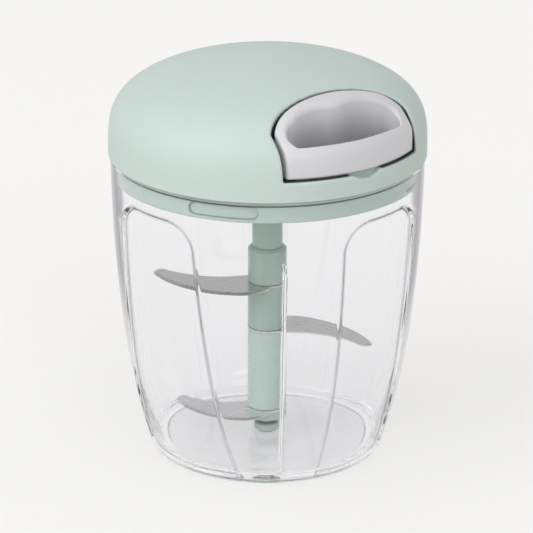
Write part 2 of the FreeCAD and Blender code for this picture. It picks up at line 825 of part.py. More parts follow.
def cord_points():
    """The cord's middle line from the drum to the handle, seen from above."""
    height = value("cord_height")
    line = value("cord_line")
    reach = value("bend_reach")
    lean = math.acos(line / reach)
    leave = FreeCAD.Vector(-line * math.sin(lean), -line * math.cos(lean), height)
    corner = FreeCAD.Vector(0, -reach, height)
    finish = FreeCAD.Vector(0, -value("knot_centre"), height)
    return leave, corner, finish


def tube(name, edges, radius):
    path = Part.Wire(edges)
    start = path.Edges[0]
    direction = start.tangentAt(start.FirstParameter)
    circle = Part.makeCircle(radius, start.valueAt(start.FirstParameter), direction)
    section = Part.Wire([circle])
    solid = Part.Wire(path).makePipeShell([section], True, False)
    print(name, "volume over section times length:", solid.Volume / (math.pi * radius ** 2 * path.Length))
    return solid


def make_pull_cord():
    leave, corner, finish = cord_points()
    along = (corner - leave).normalize()
    start = leave + along * value("cord_tail")
    out = FreeCAD.Vector(0, -1, 0)
    half_turn = along.getAngle(out) / 2
    setback = value("cord_bend") * math.tan(half_turn)
    bend_start = corner - along * setback
    bend_end = corner + out * setback
    inward = (bend_end - bend_start).cross(Z_AXIS).normalize()
    if inward.dot(leave - corner) < 0:
        inward = inward * -1
    bulge = value("cord_bend") * (1 / math.cos(half_turn) - 1)
    middle = corner + inward * bulge
    cord = doc.addObject("Part::Feature", "pull_cord")
    cord.Shape = tube("pull_cord", [
        Part.makeLine(start, bend_start),
        Part.Arc(bend_start, middle, bend_end).toShape(),
        Part.makeLine(bend_end, finish),
    ], value("cord_radius"))
    print("cord bend radius", value("cord_bend"))
    keep("pull_cord", cord)


def make_cord_winding():
    """The wound turns as one plain ring, and the straight tail that leaves them."""
    leave, corner, _ = cord_points()
    along = (corner - leave).normalize()
    radius = value("cord_radius")
    edge = 0.3
    low = value("drum_bottom") + edge
    tall = value("drum_width") - 2 * edge
    outer = Part.makeCylinder(value("drum_radius") + 2 * radius, tall, FreeCAD.Vector(0, 0, low))
    inner = Part.makeCylinder(value("drum_radius"), tall, FreeCAD.Vector(0, 0, low))
    tail = Part.makeCylinder(radius, value("cord_tail"), leave, along)
    winding = doc.addObject("Part::Feature", "cord_winding")
    winding.Shape = outer.fuse(tail).cut(inner).removeSplitter()
    keep("cord_winding", winding)


# Reel and spring

def make_reel():
    bore = "post_radius + post_clearance"
    body = revolve("reel_body", [
        (bore, "hub_bottom"),
        ("reel_hub_radius", "hub_bottom"),
        ("reel_hub_radius", "reel_bottom"),
        ("reel_flange_radius", "reel_bottom"),
        ("reel_flange_radius", "drum_bottom"),
        ("drum_radius", "drum_bottom"),
        ("drum_radius", "drum_top"),
        ("drum_radius - drum_wall", "drum_top"),
        ("drum_radius - drum_wall", "drum_bottom"),
        (bore, "drum_bottom"),
    ])
    holes = []
    for number, turn in enumerate(pawl_turns()):
        x, y = around("pawl_circle", turn)
        holes.append(cylinder(f"pin_hole_{number}", "pin_radius",
                              "reel_bottom - 1", "drum_bottom - 0.5", x, y))
    notch = block("spring_notch",
                  ("0 - drum_radius + drum_wall / 2", "0 - spring_strip / 2 - 0.05", "drum_bottom"),
                  ("spring_strip * 2 - drum_radius + drum_wall", "spring_strip / 2 + 0.05", "drum_top + 1"))
    keep("reel", cut("reel", body, notch, *holes))


def make_reel_cover():
    keep("reel_cover", revolve("reel_cover_body", [
        ("post_radius + running_gap", "drum_top"),
        ("drum_radius - drum_wall - 1.5", "drum_top"),
        ("reel_flange_radius", "drum_top"),
        ("reel_flange_radius", "drum_top + reel_cover_thickness"),
        ("post_radius + running_gap", "drum_top + reel_cover_thickness"),
    ]))


def make_recoil_spring():
    """A flat spiral strip of half circles, from the post's slot to the drum's notch."""
    strip = value("spring_strip")
    inner = value("post_radius") + 0.35 + strip / 2
    outer = value("drum_radius - drum_wall") - 0.35 - strip / 2
    halves = int(2 * value("spring_turns")) + 1
    step = (outer - inner) / halves
    low = value("drum_bottom") + value("running_gap")
    tall = value("drum_width") - 2 * value("running_gap")

    def line(offset):
        edges = []
        radius = inner + offset
        spot = FreeCAD.Vector(radius, 0, low)
        side = 1
        for _ in range(halves):
            after = radius + step
            far = FreeCAD.Vector(-side * after, 0, low)
            centre = (spot + far) * 0.5
            top = centre + FreeCAD.Vector(0, side * (radius + after) / 2, 0)
            edges.append(Part.Arc(spot, top, far).toShape())
            spot, radius, side = far, after, -side
        return edges, spot

    near, near_end = line(-strip / 2)
    far, far_end = line(strip / 2)
    start = FreeCAD.Vector(inner - strip / 2, 0, low)
    finish = FreeCAD.Vector(inner + strip / 2, 0, low)
    ends = Part.makeLine(near_end, far_end), Part.makeLine(finish, start)
    outline = Part.Wire(near + [ends[0]] + far[::-1] + [ends[1]])
    coil = Part.Face(outline).extrude(FreeCAD.Vector(0, 0, tall))
    inner_tab = Part.makeBox(value("spring_tail") + strip, strip, tall,
                             FreeCAD.Vector(inner - value("spring_tail") - strip / 2, -strip / 2, low))
    outer_tab = Part.makeBox(value("drum_wall") / 2 + 0.2, strip, tall,
                             FreeCAD.Vector(-outer - strip / 2 - value("drum_wall") / 2, -strip / 2, low))
    spring = doc.addObject("Part::Feature", "recoil_spring")
    spring.Shape = coil.fuse([inner_tab, outer_tab]).removeSplitter()
    keep("recoil_spring", spring)


def make_axle_fasteners():
    keep("axle_washer", ring("axle_washer_body", "axle_screw_radius + screw_fit", "washer_radius",
                             "washer_bottom", "post_bottom"))
    head_bottom = "washer_bottom - axle_head_height"
    head = cylinder("axle_screw_head", "axle_head_radius", head_bottom, "washer_bottom")
    shank = cylinder("axle_screw_shank", "axle_screw_radius", "washer_bottom - 0.5",
                     "washer_bottom + axle_screw_length")
    drive = cylinder("axle_screw_drive", "axle_screw_radius * 0.7", head_bottom,
                     f"{head_bottom} + axle_head_height / 2")
    keep("axle_screw", cut("axle_screw", fuse("axle_screw", head, shank), drive))


# One-way clutch

def pawl_turns():
    """Angles of the two pawl pivots: each nose meets a tooth face on the X axis."""
    return "0 - pawl_lag", "180 - pawl_lag"


def pawl_outline():
    """Plan of a pawl about its pivot, its nose square to a slanted tooth face at +X."""
    pivot = around("pawl_circle", "0 - pawl_lag")
    face_in = around("tooth_tip", "tooth_slant")
    face_x = f"({face_in[0]} - tooth_root)"
    face_y = f"({face_in[1]})"
    size = f"sqrt({face_x} ^ 2 + {face_y} ^ 2)"
    along = (f"{face_x} / {size}", f"{face_y} / {size}")
    outer = (f"tooth_root - 1.3 * pawl_nose_gap - ({pivot[0]})",
             f"0 - pawl_nose_gap / 3 - ({pivot[1]})")
    inner = (f"{outer[0]} + pawl_nose * {along[0]}", f"{outer[1]} + pawl_nose * {along[1]}")
    return [
        outer,
        inner,
        (f"pawl_boss * {along[0]}", f"pawl_boss * {along[1]}"),
        (f"0 - pawl_boss * {along[1]}", f"pawl_boss * {along[0]}",
         f"0 - pawl_boss * {along[0]}", f"0 - pawl_boss * {along[1]}"),
    ]


def make_pawls():
    for name, flip in (("pawl_a", "0"), ("pawl_b", "180")):
        body = pad(name + "_blank", pawl_outline(), "0", "pawl_thickness")
        bore = cylinder(name + "_bore", "pin_radius + pin_clearance", "0 - 1", "pawl_thickness + 1")
        lever = cut(name, body, bore)
        x, y = around("pawl_circle", f"{flip} - pawl_lag")
        place(lever, x, y, "pawl_bottom", turn=flip)
        keep(name, lever)
    pins = []
    for number, turn in enumerate(pawl_turns()):
        x, y = around("pawl_circle", turn)
        head_top = "pawl_bottom - running_gap"
        head = cylinder(f"pawl_pin_head_{number}", "pin_head_radius",
                        f"{head_top} - pin_head", head_top, x, y)
        shank = cylinder(f"pawl_pin_shank_{number}", "pin_radius", f"{head_top} - pin_head / 2",
                         "drum_bottom - 0.5", x, y)
        pins.append(fuse(f"pawl_pin_{number}", head, shank))
    keep("pawl_pins", group("pawl_pins", pins))


def make_pawl_springs():
    """Leaf strips from the reel's hub to the inner side of each pawl."""
    for name, flip in (("pawl_spring_a", "0"), ("pawl_spring_b", "180")):
        leaf = doc.addObject("Part::Box", name)
        bind(leaf, "Length", "pawl_circle - reel_hub_radius - 1.6")
        bind(leaf, "Width", "pawl_spring_thickness")
        bind(leaf, "Height", "pawl_spring_height")
        x, y = around("reel_hub_radius", f"{flip} - 8")
        place(leaf, x, y, "reel_bottom - pawl_spring_height", turn=f"{flip} - 14")
        keep(name, leaf)


def make_drive_coupling():
    blank = revolve("coupling_blank", [
        ("0", "drive_bottom"),
        ("drive_hub_radius", "drive_bottom"),
        ("drive_hub_radius", "cup_bottom"),
        ("tooth_root + cup_wall", "cup_bottom"),
        ("tooth_root + cup_wall", "cup_top"),
        ("0", "cup_top"),
    ])
    teeth = []
    for tooth in range(int(value("tooth_count"))):
        turn = f"{tooth} * 360 / tooth_count"
        teeth.append(around("tooth_root", turn))
        teeth.append(around("tooth_tip", f"{turn} + tooth_slant"))
    pocket(blank, "teeth", teeth, "cup_inside", "cup_depth")
    pocket(blank, "socket", hexagon("hexagon_flats + hexagon_fit * 2"), "drive_bottom", "socket_depth")
    keep("drive_coupling", blank)


def make_drive_bush():
    keep("drive_bush", revolve("drive_bush_body", [
        ("drive_hub_radius + bush_clearance", "skirt_bottom"),
        ("bush_radius", "skirt_bottom"),
        ("bush_radius", "bearing_top"),
        ("bush_flange_radius", "bearing_top"),
        ("bush_flange_radius", "bush_top"),
        ("drive_hub_radius + bush_clearance", "bush_top"),
    ]))


# Blade shaft

def make_shaft_core():
    top = "shoulder_height + core_overlap"
    core = pad("core_rod", hexagon("hexagon_flats"), "shaft_bottom", f"{top} - shaft_bottom")
    foot = cylinder("core_foot", "foot_radius", "shaft_bottom", "foot_top")
    bore = cylinder("core_bore", "pivot_radius + foot_bush_clearance + foot_bush_wall", "shaft_bottom - 1",
                    "pivot_height + foot_gap")
    keep("shaft_core", cut("shaft_core", fuse("shaft_core", core, foot), bore))


def make_shaft_neck():
    neck = cylinder("neck_rod", "neck_radius", "shoulder_height", "neck_top")
    tip = pad("neck_tip", hexagon("hexagon_flats"), "neck_top - 1", "tip_top - neck_top + 1")
    socket_outline = hexagon("hexagon_flats + stack_gap * 4")
    socket = pad("neck_socket", socket_outline, "shoulder_height - 1", "core_overlap + 1.3")
    keep("shaft_neck", cut("shaft_neck", fuse("shaft_neck", neck, tip), socket))


def sleeve(name, low, high, chamfer="0.3"):
    tube_body = revolve(name + "_body", [
        ("0", low),
        ("sleeve_radius", low),
        ("sleeve_radius", f"{high} - ({chamfer})"),
        (f"sleeve_radius - ({chamfer})", high),
        ("0", high),
    ])
    pocket(tube_body, name + "_bore", hexagon("hexagon_flats + stack_gap * 4"), low, f"({high}) - ({low})")
    keep(name, tube_body)


def make_sleeves():
    beside = "(half_blade + stack_gap)"
    sleeve("upper_sleeve", f"upper_blade_height + {beside}", "shoulder_height - stack_gap", "sleeve_chamfer")
    sleeve("middle_sleeve", f"middle_blade_height + {beside}", f"upper_blade_height - {beside}")
    sleeve("lower_sleeve", f"lower_blade_height + {beside}", f"middle_blade_height - {beside}")
    sleeve("foot_sleeve", "foot_sleeve_bottom", f"lower_blade_height - {beside}")


def blade_outline(reach, belly):
    """Plan of a blade pointing along +X: its bulging edge leads when it turns about +Z."""
    hub = "blade_hub_radius"
    hub_start = around(hub, "112")
    hub_end = around(hub, "-48")
    hub_back = around(hub, "-148")
    return [
        hub_start,
        ("0 - 0.4", f"({belly}) - 5.4", f"({reach}) * 0.16", f"({belly}) - 0.5"),
        (f"({reach}) * 0.62", f"({belly}) - 3.2", f"({reach}) - 1", "1.6"),
        (f"({reach}) - 0.6", "0 - 2.2", f"({reach}) - 3.6", "0 - 3.6"),
        (f"({reach}) * 0.53", "0.9") + hub_end,
        hub_back + hub_start,
    ]


def make_blades():
    for level in ("upper", "middle", "lower"):
        name = level + "_blade"
        height = f"{name}_height - half_blade"
        outline = blade_outline(name + "_reach", name + "_belly")
        body = pad(name + "_body", outline[1:], "0", "blade_thickness")
        hole = hexagon("hexagon_flats + stack_gap * 4", f"0 - {name}_turn")
        pocket(body, name + "_hole", hole, "0", "blade_thickness")
        keep(name, place(body, z=height, turn=name + "_turn"))


def make_foot_bush():
    inner = "pivot_radius + foot_bush_clearance"
    keep("foot_bush", ring("foot_bush_body", inner, f"{inner} + foot_bush_wall",
                           "shaft_bottom", "shaft_bottom + foot_bush_length"))


def build():
    fill_sheet()
    make_bowl()
    make_pivot_pin()
    make_lid_cover()
    make_lid_base()
    make_cover_screws()
    make_pull_handle()
    make_cord_knot()
    make_cord_guide()
    make_pull_cord()
    make_cord_winding()
    make_reel()
    make_reel_cover()
    make_recoil_spring()
    make_axle_fasteners()
    make_pawls()
    make_pawl_springs()
    make_drive_coupling()
    make_drive_bush()
    make_shaft_core()
    make_shaft_neck()
    make_sleeves()
    make_blades()
    make_foot_bush()
    doc.recompute()


def check():
    for thing in doc.Objects:
        if "Invalid" in thing.State or "Error" in thing.State:
            raise ValueError(f"{thing.Name} failed: {thing.State}")
    for name, thing in nodes.items():
        shape = thing.Shape
        if shape.isNull() or not shape.isValid() or not shape.Solids:
            raise ValueError(f"{name} has no valid solid")
        print(f"{name}: {len(shape.Solids)} solid(s), {shape.Volume / 1000:.2f} cm3")


def write():
    os.makedirs("parts", exist_ok=True)
    for name, thing in nodes.items():
        thing.Shape.exportStep(f"parts/{name}.step")


build()
check()
write()
print(len(nodes), "nodes")
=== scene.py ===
import math

import bmesh
import bpy
import numpy as np
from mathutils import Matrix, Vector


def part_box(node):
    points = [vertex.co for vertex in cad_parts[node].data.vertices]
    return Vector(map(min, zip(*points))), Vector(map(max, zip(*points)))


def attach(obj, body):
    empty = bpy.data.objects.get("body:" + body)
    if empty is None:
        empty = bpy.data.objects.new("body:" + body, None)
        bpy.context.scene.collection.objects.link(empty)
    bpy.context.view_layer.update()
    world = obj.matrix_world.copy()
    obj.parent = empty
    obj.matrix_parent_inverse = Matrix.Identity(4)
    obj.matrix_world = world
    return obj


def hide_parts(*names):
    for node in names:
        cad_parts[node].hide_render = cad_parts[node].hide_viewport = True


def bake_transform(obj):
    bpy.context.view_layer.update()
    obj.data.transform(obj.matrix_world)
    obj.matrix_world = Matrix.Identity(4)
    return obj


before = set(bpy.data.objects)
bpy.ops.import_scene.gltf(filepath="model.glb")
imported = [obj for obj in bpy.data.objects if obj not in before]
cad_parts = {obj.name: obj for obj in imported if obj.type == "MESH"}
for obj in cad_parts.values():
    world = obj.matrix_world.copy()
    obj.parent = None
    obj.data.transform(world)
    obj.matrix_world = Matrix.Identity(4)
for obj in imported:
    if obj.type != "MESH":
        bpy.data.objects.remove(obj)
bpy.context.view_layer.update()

import openvdb
from mathutils import Euler, Matrix, Vector

# Pull-string food chopper. Sizes in the dictionaries are millimetres in the frame of the CAD:
# the origin is the middle of the tub's underside, +Z is up and the handle pulls out along -Y.
mm = 0.001
photoSize = 533


# Small helpers for nodes and colours

def fromHex(code, alpha=1.0):
    # sRGB hex to the linear colour that Blender's sockets take
    parts = [int(code[i:i + 2], 16) / 255 for i in (1, 3, 5)]
    linear = [c / 12.92 if c <= 0.04045 else ((c + 0.055) / 1.055) ** 2.4 for c in parts]
    return (*linear, alpha)


def addNode(tree, kind, inputs=None, **settings):
    node = tree.nodes.new(kind)
    for name, setting in settings.items():
        setattr(node, name, setting)
    for socket, source in (inputs or {}).items():
        if isinstance(source, bpy.types.NodeSocket):
            tree.links.new(source, node.inputs[socket])
        else:
            node.inputs[socket].default_value = source
    return node


def newMaterial(name):
    # an empty material, its node tree and the place on the piece that its patterns are laid by
    material = bpy.data.materials.new(name)
    material.use_nodes = True
    tree = material.node_tree
    tree.nodes.clear()
    return material, tree, addNode(tree, "ShaderNodeTexCoord").outputs["Object"]


def closeMaterial(material, shader):
    addNode(material.node_tree, "ShaderNodeOutputMaterial", {0: shader.outputs[0]})
    return material


def noiseNode(tree, place, scale, detail, roughness=0.5):
    return addNode(tree, "ShaderNodeTexNoise", {"Vector": place, "Scale": scale, "Detail": detail,
                                                "Roughness": roughness}).outputs[0]


def mixShaders(tree, share, shader, other):
    return addNode(tree, "ShaderNodeMixShader", {0: share, 1: shader.outputs[0], 2: other.outputs[0]})


def mixColours(tree, share, colour, shade):
    # a colour between two, each given as a hex code or as a node's output
    ends = [fromHex(end) if isinstance(end, str) else end for end in (colour, shade)]
    return addNode(tree, "ShaderNodeMix", {"Factor": share, 6: ends[0], 7: ends[1]},
                   data_type="RGBA").outputs[2]


def mathNode(tree, operation, *values):
    return addNode(tree, "ShaderNodeMath", dict(enumerate(values)), operation=operation).outputs[0]


def remap(tree, value, start, end, low, high, smooth=False):
    kind = "SMOOTHSTEP" if smooth else "LINEAR"
    return addNode(tree, "ShaderNodeMapRange", {"Value": value, 1: start, 2: end, 3: low, 4: high},
                   interpolation_type=kind).outputs[0]


def bumpNode(tree, height, strength, depth):
    # depth in millimetres
    return addNode(tree, "ShaderNodeBump", {"Height": height, "Strength": strength,
                                            "Distance": depth * mm}).outputs[0]


def newGroup(name, inputs):
    # an empty Geometry Nodes tree with the given inputs and one geometry output
    tree = bpy.data.node_groups.new(name, "GeometryNodeTree")
    for label, kind in inputs.items():
        tree.interface.new_socket(label, in_out="INPUT", socket_type="NodeSocket" + kind)
    tree.interface.new_socket("Geometry", in_out="OUTPUT", socket_type="NodeSocketGeometry")
    return tree, addNode(tree, "NodeGroupInput").outputs


def closeGroup(tree, given, made):
    # real geometry in the given material goes to the output
    plain = addNode(tree, "GeometryNodeRealizeInstances", {0: made.outputs[0]})
    dressed = addNode(tree, "GeometryNodeSetMaterial", {0: plain.outputs[0], "Material": given["Material"]})
    addNode(tree, "NodeGroupOutput", {0: dressed.outputs[0]})
    return tree


# Helpers for shapes

def smoothStep(start, end, value):
    share = np.clip((value - start) / (end - start), 0, 1)
    return share * share * (3 - 2 * share)


def roundMax(a, b, radius):
    # intersection of two distance fields with a round edge
    u = np.maximum(a + radius, 0)
    v = np.maximum(b + radius, 0)
    return np.minimum(np.maximum(a, b), -radius) + np.hypot(u, v)


def roundMin(a, b, radius):
    # union of two distance fields with a filleted corner
    return -roundMax(-a, -b, radius)


def arcPoints(start, middle, end, count):
    # points of the circular arc through three points, the first one left out
    (ax, ay), (bx, by), (cx, cy) = start, middle, end
    d = 2 * (ax * (by - cy) + bx * (cy - ay) + cx * (ay - by))
    a2, b2, c2 = ax * ax + ay * ay, bx * bx + by * by, cx * cx + cy * cy
    ux = (a2 * (by - cy) + b2 * (cy - ay) + c2 * (ay - by)) / d
    uy = (a2 * (cx - bx) + b2 * (ax - cx) + c2 * (bx - ax)) / d
    radius = math.hypot(ax - ux, ay - uy)
    first = math.atan2(ay - uy, ax - ux)
    sweep = (math.atan2(cy - uy, cx - ux) - first) % (2 * math.pi)
    halfway = (math.atan2(by - uy, bx - ux) - first) % (2 * math.pi)
    if halfway > sweep:
        sweep -= 2 * math.pi
    turns = [first + sweep * k / count for k in range(1, count + 1)]
    return [(ux + radius * math.cos(t), uy + radius * math.sin(t)) for t in turns]


def distanceTable(outline, low, high, step=0.25):
    # signed distance to a closed outline, negative inside, on a fine flat grid
    xs = np.arange(low[0], high[0] + step, step)
    ys = np.arange(low[1], high[1] + step, step)
    gx, gy = np.meshgrid(xs, ys, indexing="ij")
    nearest = np.full(gx.shape, 1e9)
    inside = np.zeros(gx.shape, bool)
    for (ax, ay), (bx, by) in zip(outline, outline[1:] + outline[:1]):
        dx, dy = bx - ax, by - ay
        share = np.clip(((gx - ax) * dx + (gy - ay) * dy) / (dx * dx + dy * dy + 1e-12), 0, 1)
        nearest = np.minimum(nearest, np.hypot(gx - ax - share * dx, gy - ay - share * dy))
        if dy != 0:
            inside ^= ((ay > gy) != (by > gy)) & (gx < dx * (gy - ay) / dy + ax)
    return {"low": low, "step": step, "grid": np.where(inside, -nearest, nearest)}


def readTable(table, x, y):
    grid = table["grid"]
    u = np.clip((x - table["low"][0]) / table["step"], 0, grid.shape[0] - 1.001)
    v = np.clip((y - table["low"][1]) / table["step"], 0, grid.shape[1] - 1.001)
    i, j = u.astype(int), v.astype(int)
    u, v = u - i, v - j
    near = grid[i, j] * (1 - v) + grid[i, j + 1] * v
    far = grid[i + 1, j] * (1 - v) + grid[i + 1, j + 1] * v
    return near * (1 - u) + far * u


def linkObject(name, data):
    piece = bpy.data.objects.new(name, data)
    bpy.context.scene.collection.objects.link(piece)
    return piece


def meshObject(name, points, faces, sharpAngle=None):
    # an object at the origin from points in millimetres
    mesh = bpy.data.meshes.new(name)
    mesh.from_pydata((np.asarray(points, float) * mm).tolist(), [], [list(map(int, f)) for f in faces])
    mesh.validate()
    mesh.shade_smooth()
    if sharpAngle is not None:
        mesh.set_sharp_from_angle(angle=math.radians(sharpAngle))
    return linkObject(name, mesh)


def faceOutwards(piece):
    work = bmesh.new()
    work.from_mesh(piece.data)
    bmesh.ops.remove_doubles(work, verts=work.verts, dist=1e-7)
    bmesh.ops.recalc_face_normals(work, faces=work.faces)
    work.to_mesh(piece.data)
    work.free()
    return piece


def joinPieces(name, piece, other):
    # two meshes in one object under a new name
    work = bmesh.new()
    work.from_mesh(piece.data)
    work.from_mesh(other.data)
    work.to_mesh(piece.data)
    work.free()
    bpy.data.objects.remove(other)
    piece.name = name
    return piece


def polar(radius, degrees):
    return radius * math.cos(math.radians(degrees)), radius * math.sin(math.radians(degrees))


def hexagon(flats, turn=0.0):
    # corners of a hexagon from its width across flats
    return [polar(flats / math.sqrt(3), 60 * k + turn) for k in range(6)]


def addMark(piece, name, values):
    # a number on each vertex, which the materials read by its name
    piece.data.attributes.new(name, "FLOAT", "POINT").data.foreach_set("value", values)


def vertexPlaces(piece):
    return (np.array([vert.co for vert in piece.data.vertices]) / mm).T


def fieldObject(name, field, low, high, step):
    # the zero surface of a distance field, each corner then moved onto the exact surface
    axes = [np.arange(a, b + step, step) for a, b in zip(low, high)]
    values = field(*np.meshgrid(*axes, indexing="ij"))
    grid = openvdb.FloatGrid(3 * step)
    grid.copyFromArray(values.astype(np.float32))
    points, quads = grid.convertToQuads(0.0)
    points = points.astype(float) * step + np.array(low)
    reach = 0.04
    for _ in range(5):
        here = field(*points.T)
        slope = np.stack([field(*(points + reach * side).T) - field(*(points - reach * side).T)
                          for side in np.eye(3)], axis=1) / (2 * reach)
        push = here[:, None] * slope / np.maximum((slope ** 2).sum(1, keepdims=True), 0.05)
        length = np.linalg.norm(push, axis=1, keepdims=True)
        points -= push * np.minimum(1, 0.35 * step / np.maximum(length, 1e-9))
    piece = meshObject(name, points, quads)
    work = bmesh.new()
    work.from_mesh(piece.data)
    if work.calc_volume(signed=True) < 0:
        bmesh.ops.reverse_faces(work, faces=work.faces)
    work.to_mesh(piece.data)
    work.free()
    return piece


def ringFaces(ringCount, size):
    faces = []
    for ring in range(ringCount - 1):
        low, high = ring * size, (ring + 1) * size
        for k in range(size):
            after = (k + 1) % size
            faces.append((low + k, low + after, high + after, high + k))
    return faces


def lathe(name, profile, sides=96, sharpAngle=None):
    # a closed profile of radius and height turned about Z; radius 0 becomes a pole
    profile = list(profile)
    turns = [2 * math.pi * k / sides for k in range(sides)]
    points, faces, rings = [], [], []
    for radius, height in profile:
        if radius < 1e-6:
            rings.append([len(points)])
            points.append((0, 0, height))
        else:
            rings.append(list(range(len(points), len(points) + sides)))
            points += [(radius * math.cos(t), radius * math.sin(t), height) for t in turns]
    closed = profile[0][0] > 1e-6
    pairs = list(zip(rings, rings[1:])) + ([(rings[-1], rings[0])] if closed else [])
    for low, high in pairs:
        for k in range(sides):
            after = (k + 1) % sides
            corners = (low[k % len(low)], low[after % len(low)], high[after % len(high)], high[k % len(high)])
            corners = list(dict.fromkeys(corners))
            if len(corners) > 2:
                faces.append(corners)
    return faceOutwards(meshObject(name, points, faces, sharpAngle))


def softCorner(corner, before, after, radius, count=4):
    # a rounded corner of a profile
    here = Vector(corner)
    inward = (Vector(before) - here).normalized()
    onward = (Vector(after) - here).normalized()
    half = inward.angle(onward) / 2
    reach = radius / math.tan(half)
    centre = here + (inward + onward).normalized() * radius / math.sin(half)
    start, end = here + inward * reach, here + onward * reach
    middle = centre + (here - centre).normalized() * radius
    return [tuple(start)] + arcPoints(tuple(start), tuple(middle), tuple(end), count)


def softProfile(corners, radii):
    # a closed profile with each corner rounded by its own radius
    points = []
    for k, (corner, radius) in enumerate(zip(corners, radii)):
        before, after = corners[k - 1], corners[(k + 1) % len(corners)]
        points += softCorner(corner, before, after, radius) if radius else [corner]
    return points


def finish(piece, body, slot, material, *replaced):
    piece.data.materials.clear()
    piece.data.materials.append(material)
    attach(piece, body)
    if replaced:
        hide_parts(*replaced)
    return piece


# Camera and studio, fitted to the photograph

studio = {
    "azimuth": -35.6, "elevation": 21.27, "distance": 1263.0, "aim": (0, 0, 70),
    "aimPixel": (267.2, 282.5), "focalPixels": 3040.8, "roll": 0.2, "sensor": 36, "clipEnd": 50,
    # each softbox: its turn from the camera's line, its height in degrees, how far away it stands
    # and how wide it is, both in metres, and its power
    "boxes": {"leftBox": (-55, 36, 1.5, 1.1, 9.6), "frontBox": (22, 26, 1.8, 0.9, 5.4),
              "topBox": (-20, 78, 1.4, 1.2, 5.4)},
    "boxAim": (0, 0, 0.09),
    # the room as the eye sees it, pale at table height and greyer overhead, and its plain fill light
    "roomLow": (0.12, "#f7f6f5"), "roomHigh": (0.68, "#a6a5af"), "fill": 0.48,
    "floorHalf": 4000, "paper": ("#f5f4f2", "#f3f2f0"), "paperSeen": "#f9f8f6",
    # the paper's even share grows between these distances in metres
    "evenReach": (0.08, 0.4), "evenShare": (0.6, 0.9),
    # light goes round inside the tub's clear wall many times before it comes out, and with the
    # usual twelve bounces the wall's edges turn black
    "bounces": 48, "glossyBounces": 24,
}


def lookBack(azimuth, elevation):
    # from the chopper towards the camera or a lamp
    a, e = math.radians(azimuth), math.radians(elevation)
    return Vector((math.sin(a) * math.cos(e), -math.cos(a) * math.cos(e), math.sin(e)))


def makeCamera():
    back = lookBack(studio["azimuth"], studio["elevation"])
    data = bpy.data.cameras.new("photoCamera")
    data.sensor_width = studio["sensor"]
    data.lens = studio["focalPixels"] / photoSize * studio["sensor"]
    data.clip_end = studio["clipEnd"]
    camera = linkObject("photoCamera", data)
    right, down = [(pixel - photoSize / 2) / studio["focalPixels"] for pixel in studio["aimPixel"]]
    lean = Euler((down, right, math.radians(studio["roll"]))).to_quaternion()
    camera.rotation_mode = "QUATERNION"
    camera.rotation_quaternion = back.to_track_quat("Z", "Y") @ lean
    camera.location = (Vector(studio["aim"]) + back * studio["distance"]) * mm
    bpy.context.scene.camera = camera


def makeLight(name, turn, height, away, size, power):
    back = lookBack(studio["azimuth"] + turn, height)
    data = bpy.data.lights.new(name, "AREA")
    data.shape = "RECTANGLE"
    data.size = data.size_y = size
    data.energy = power
    lamp = linkObject(name, data)
    lamp.rotation_mode = "QUATERNION"
    lamp.rotation_quaternion = back.to_track_quat("Z", "Y")
    lamp.location = Vector(studio["boxAim"]) + back * away


def seenShare(tree):
    # 1 for what the eye sees straight on, mirrored or through the clear wall, 0 for light that falls
    path = addNode(tree, "ShaderNodeLightPath").outputs
    seen = mathNode(tree, "MAXIMUM", path["Is Camera Ray"], path["Is Glossy Ray"])
    return mathNode(tree, "MAXIMUM", seen, path["Is Transmission Ray"])


def makeRoom():
    world = bpy.data.worlds.new("paleRoom")
    bpy.context.scene.world = world
    world.use_nodes = True
    tree = world.node_tree
    tree.nodes.clear()
    place = addNode(tree, "ShaderNodeTexCoord")
    height = addNode(tree, "ShaderNodeSeparateXYZ", {0: place.outputs["Generated"]})
    shade = addNode(tree, "ShaderNodeValToRGB", {0: height.outputs["Z"]})
    for stop, (level, colour) in zip(shade.color_ramp.elements, (studio["roomLow"], studio["roomHigh"])):
        stop.position = level
        stop.color = fromHex(colour)
    room = addNode(tree, "ShaderNodeBackground", {"Color": shade.outputs[0], "Strength": 1.0})
    fill = addNode(tree, "ShaderNodeBackground", {"Color": fromHex("#ffffff"), "Strength": studio["fill"]})
    both = mixShaders(tree, seenShare(tree), fill, room)
    addNode(tree, "ShaderNodeOutputWorld", {0: both.outputs[0]})


def makeFloor():
    half = studio["floorHalf"]
    floor = meshObject("paperFloor", [(-half, -half, 0), (half, -half, 0), (half, half, 0), (-half, half, 0)],
                       [(0, 1, 2, 3)])
    paper, tree, place = newMaterial("paperSweep")  # matt white studio paper, its soft shadow kept
    fibre = noiseNode(tree, place, 700, 3)
    matt = addNode(tree, "ShaderNodeBsdfPrincipled", {
        "Base Color": mixColours(tree, fibre, *studio["paper"]), "Roughness": 0.9,
        "Specular IOR Level": 0.1})
    # what the camera sees is mostly the sheet's own pale colour, the more the further from the
    # chopper, so that it stays even to the picture's edge; the rest is lit, and keeps the shadow
    away = addNode(tree, "ShaderNodeVectorMath", {0: place}, operation="LENGTH")
    pale = remap(tree, away.outputs["Value"], *studio["evenReach"], *studio["evenShare"], smooth=True)
    share = mathNode(tree, "MULTIPLY", seenShare(tree), pale)
    even = addNode(tree, "ShaderNodeEmission", {"Color": fromHex(studio["paperSeen"]), "Strength": 1.0})
    floor.data.materials.append(closeMaterial(paper, mixShaders(tree, share, matt, even)))


makeCamera()
for name, box in studio["boxes"].items():
    makeLight(name, *box)
makeRoom()
makeFloor()
print("camera and studio ready")


# Materials

grainDepth = 0.02


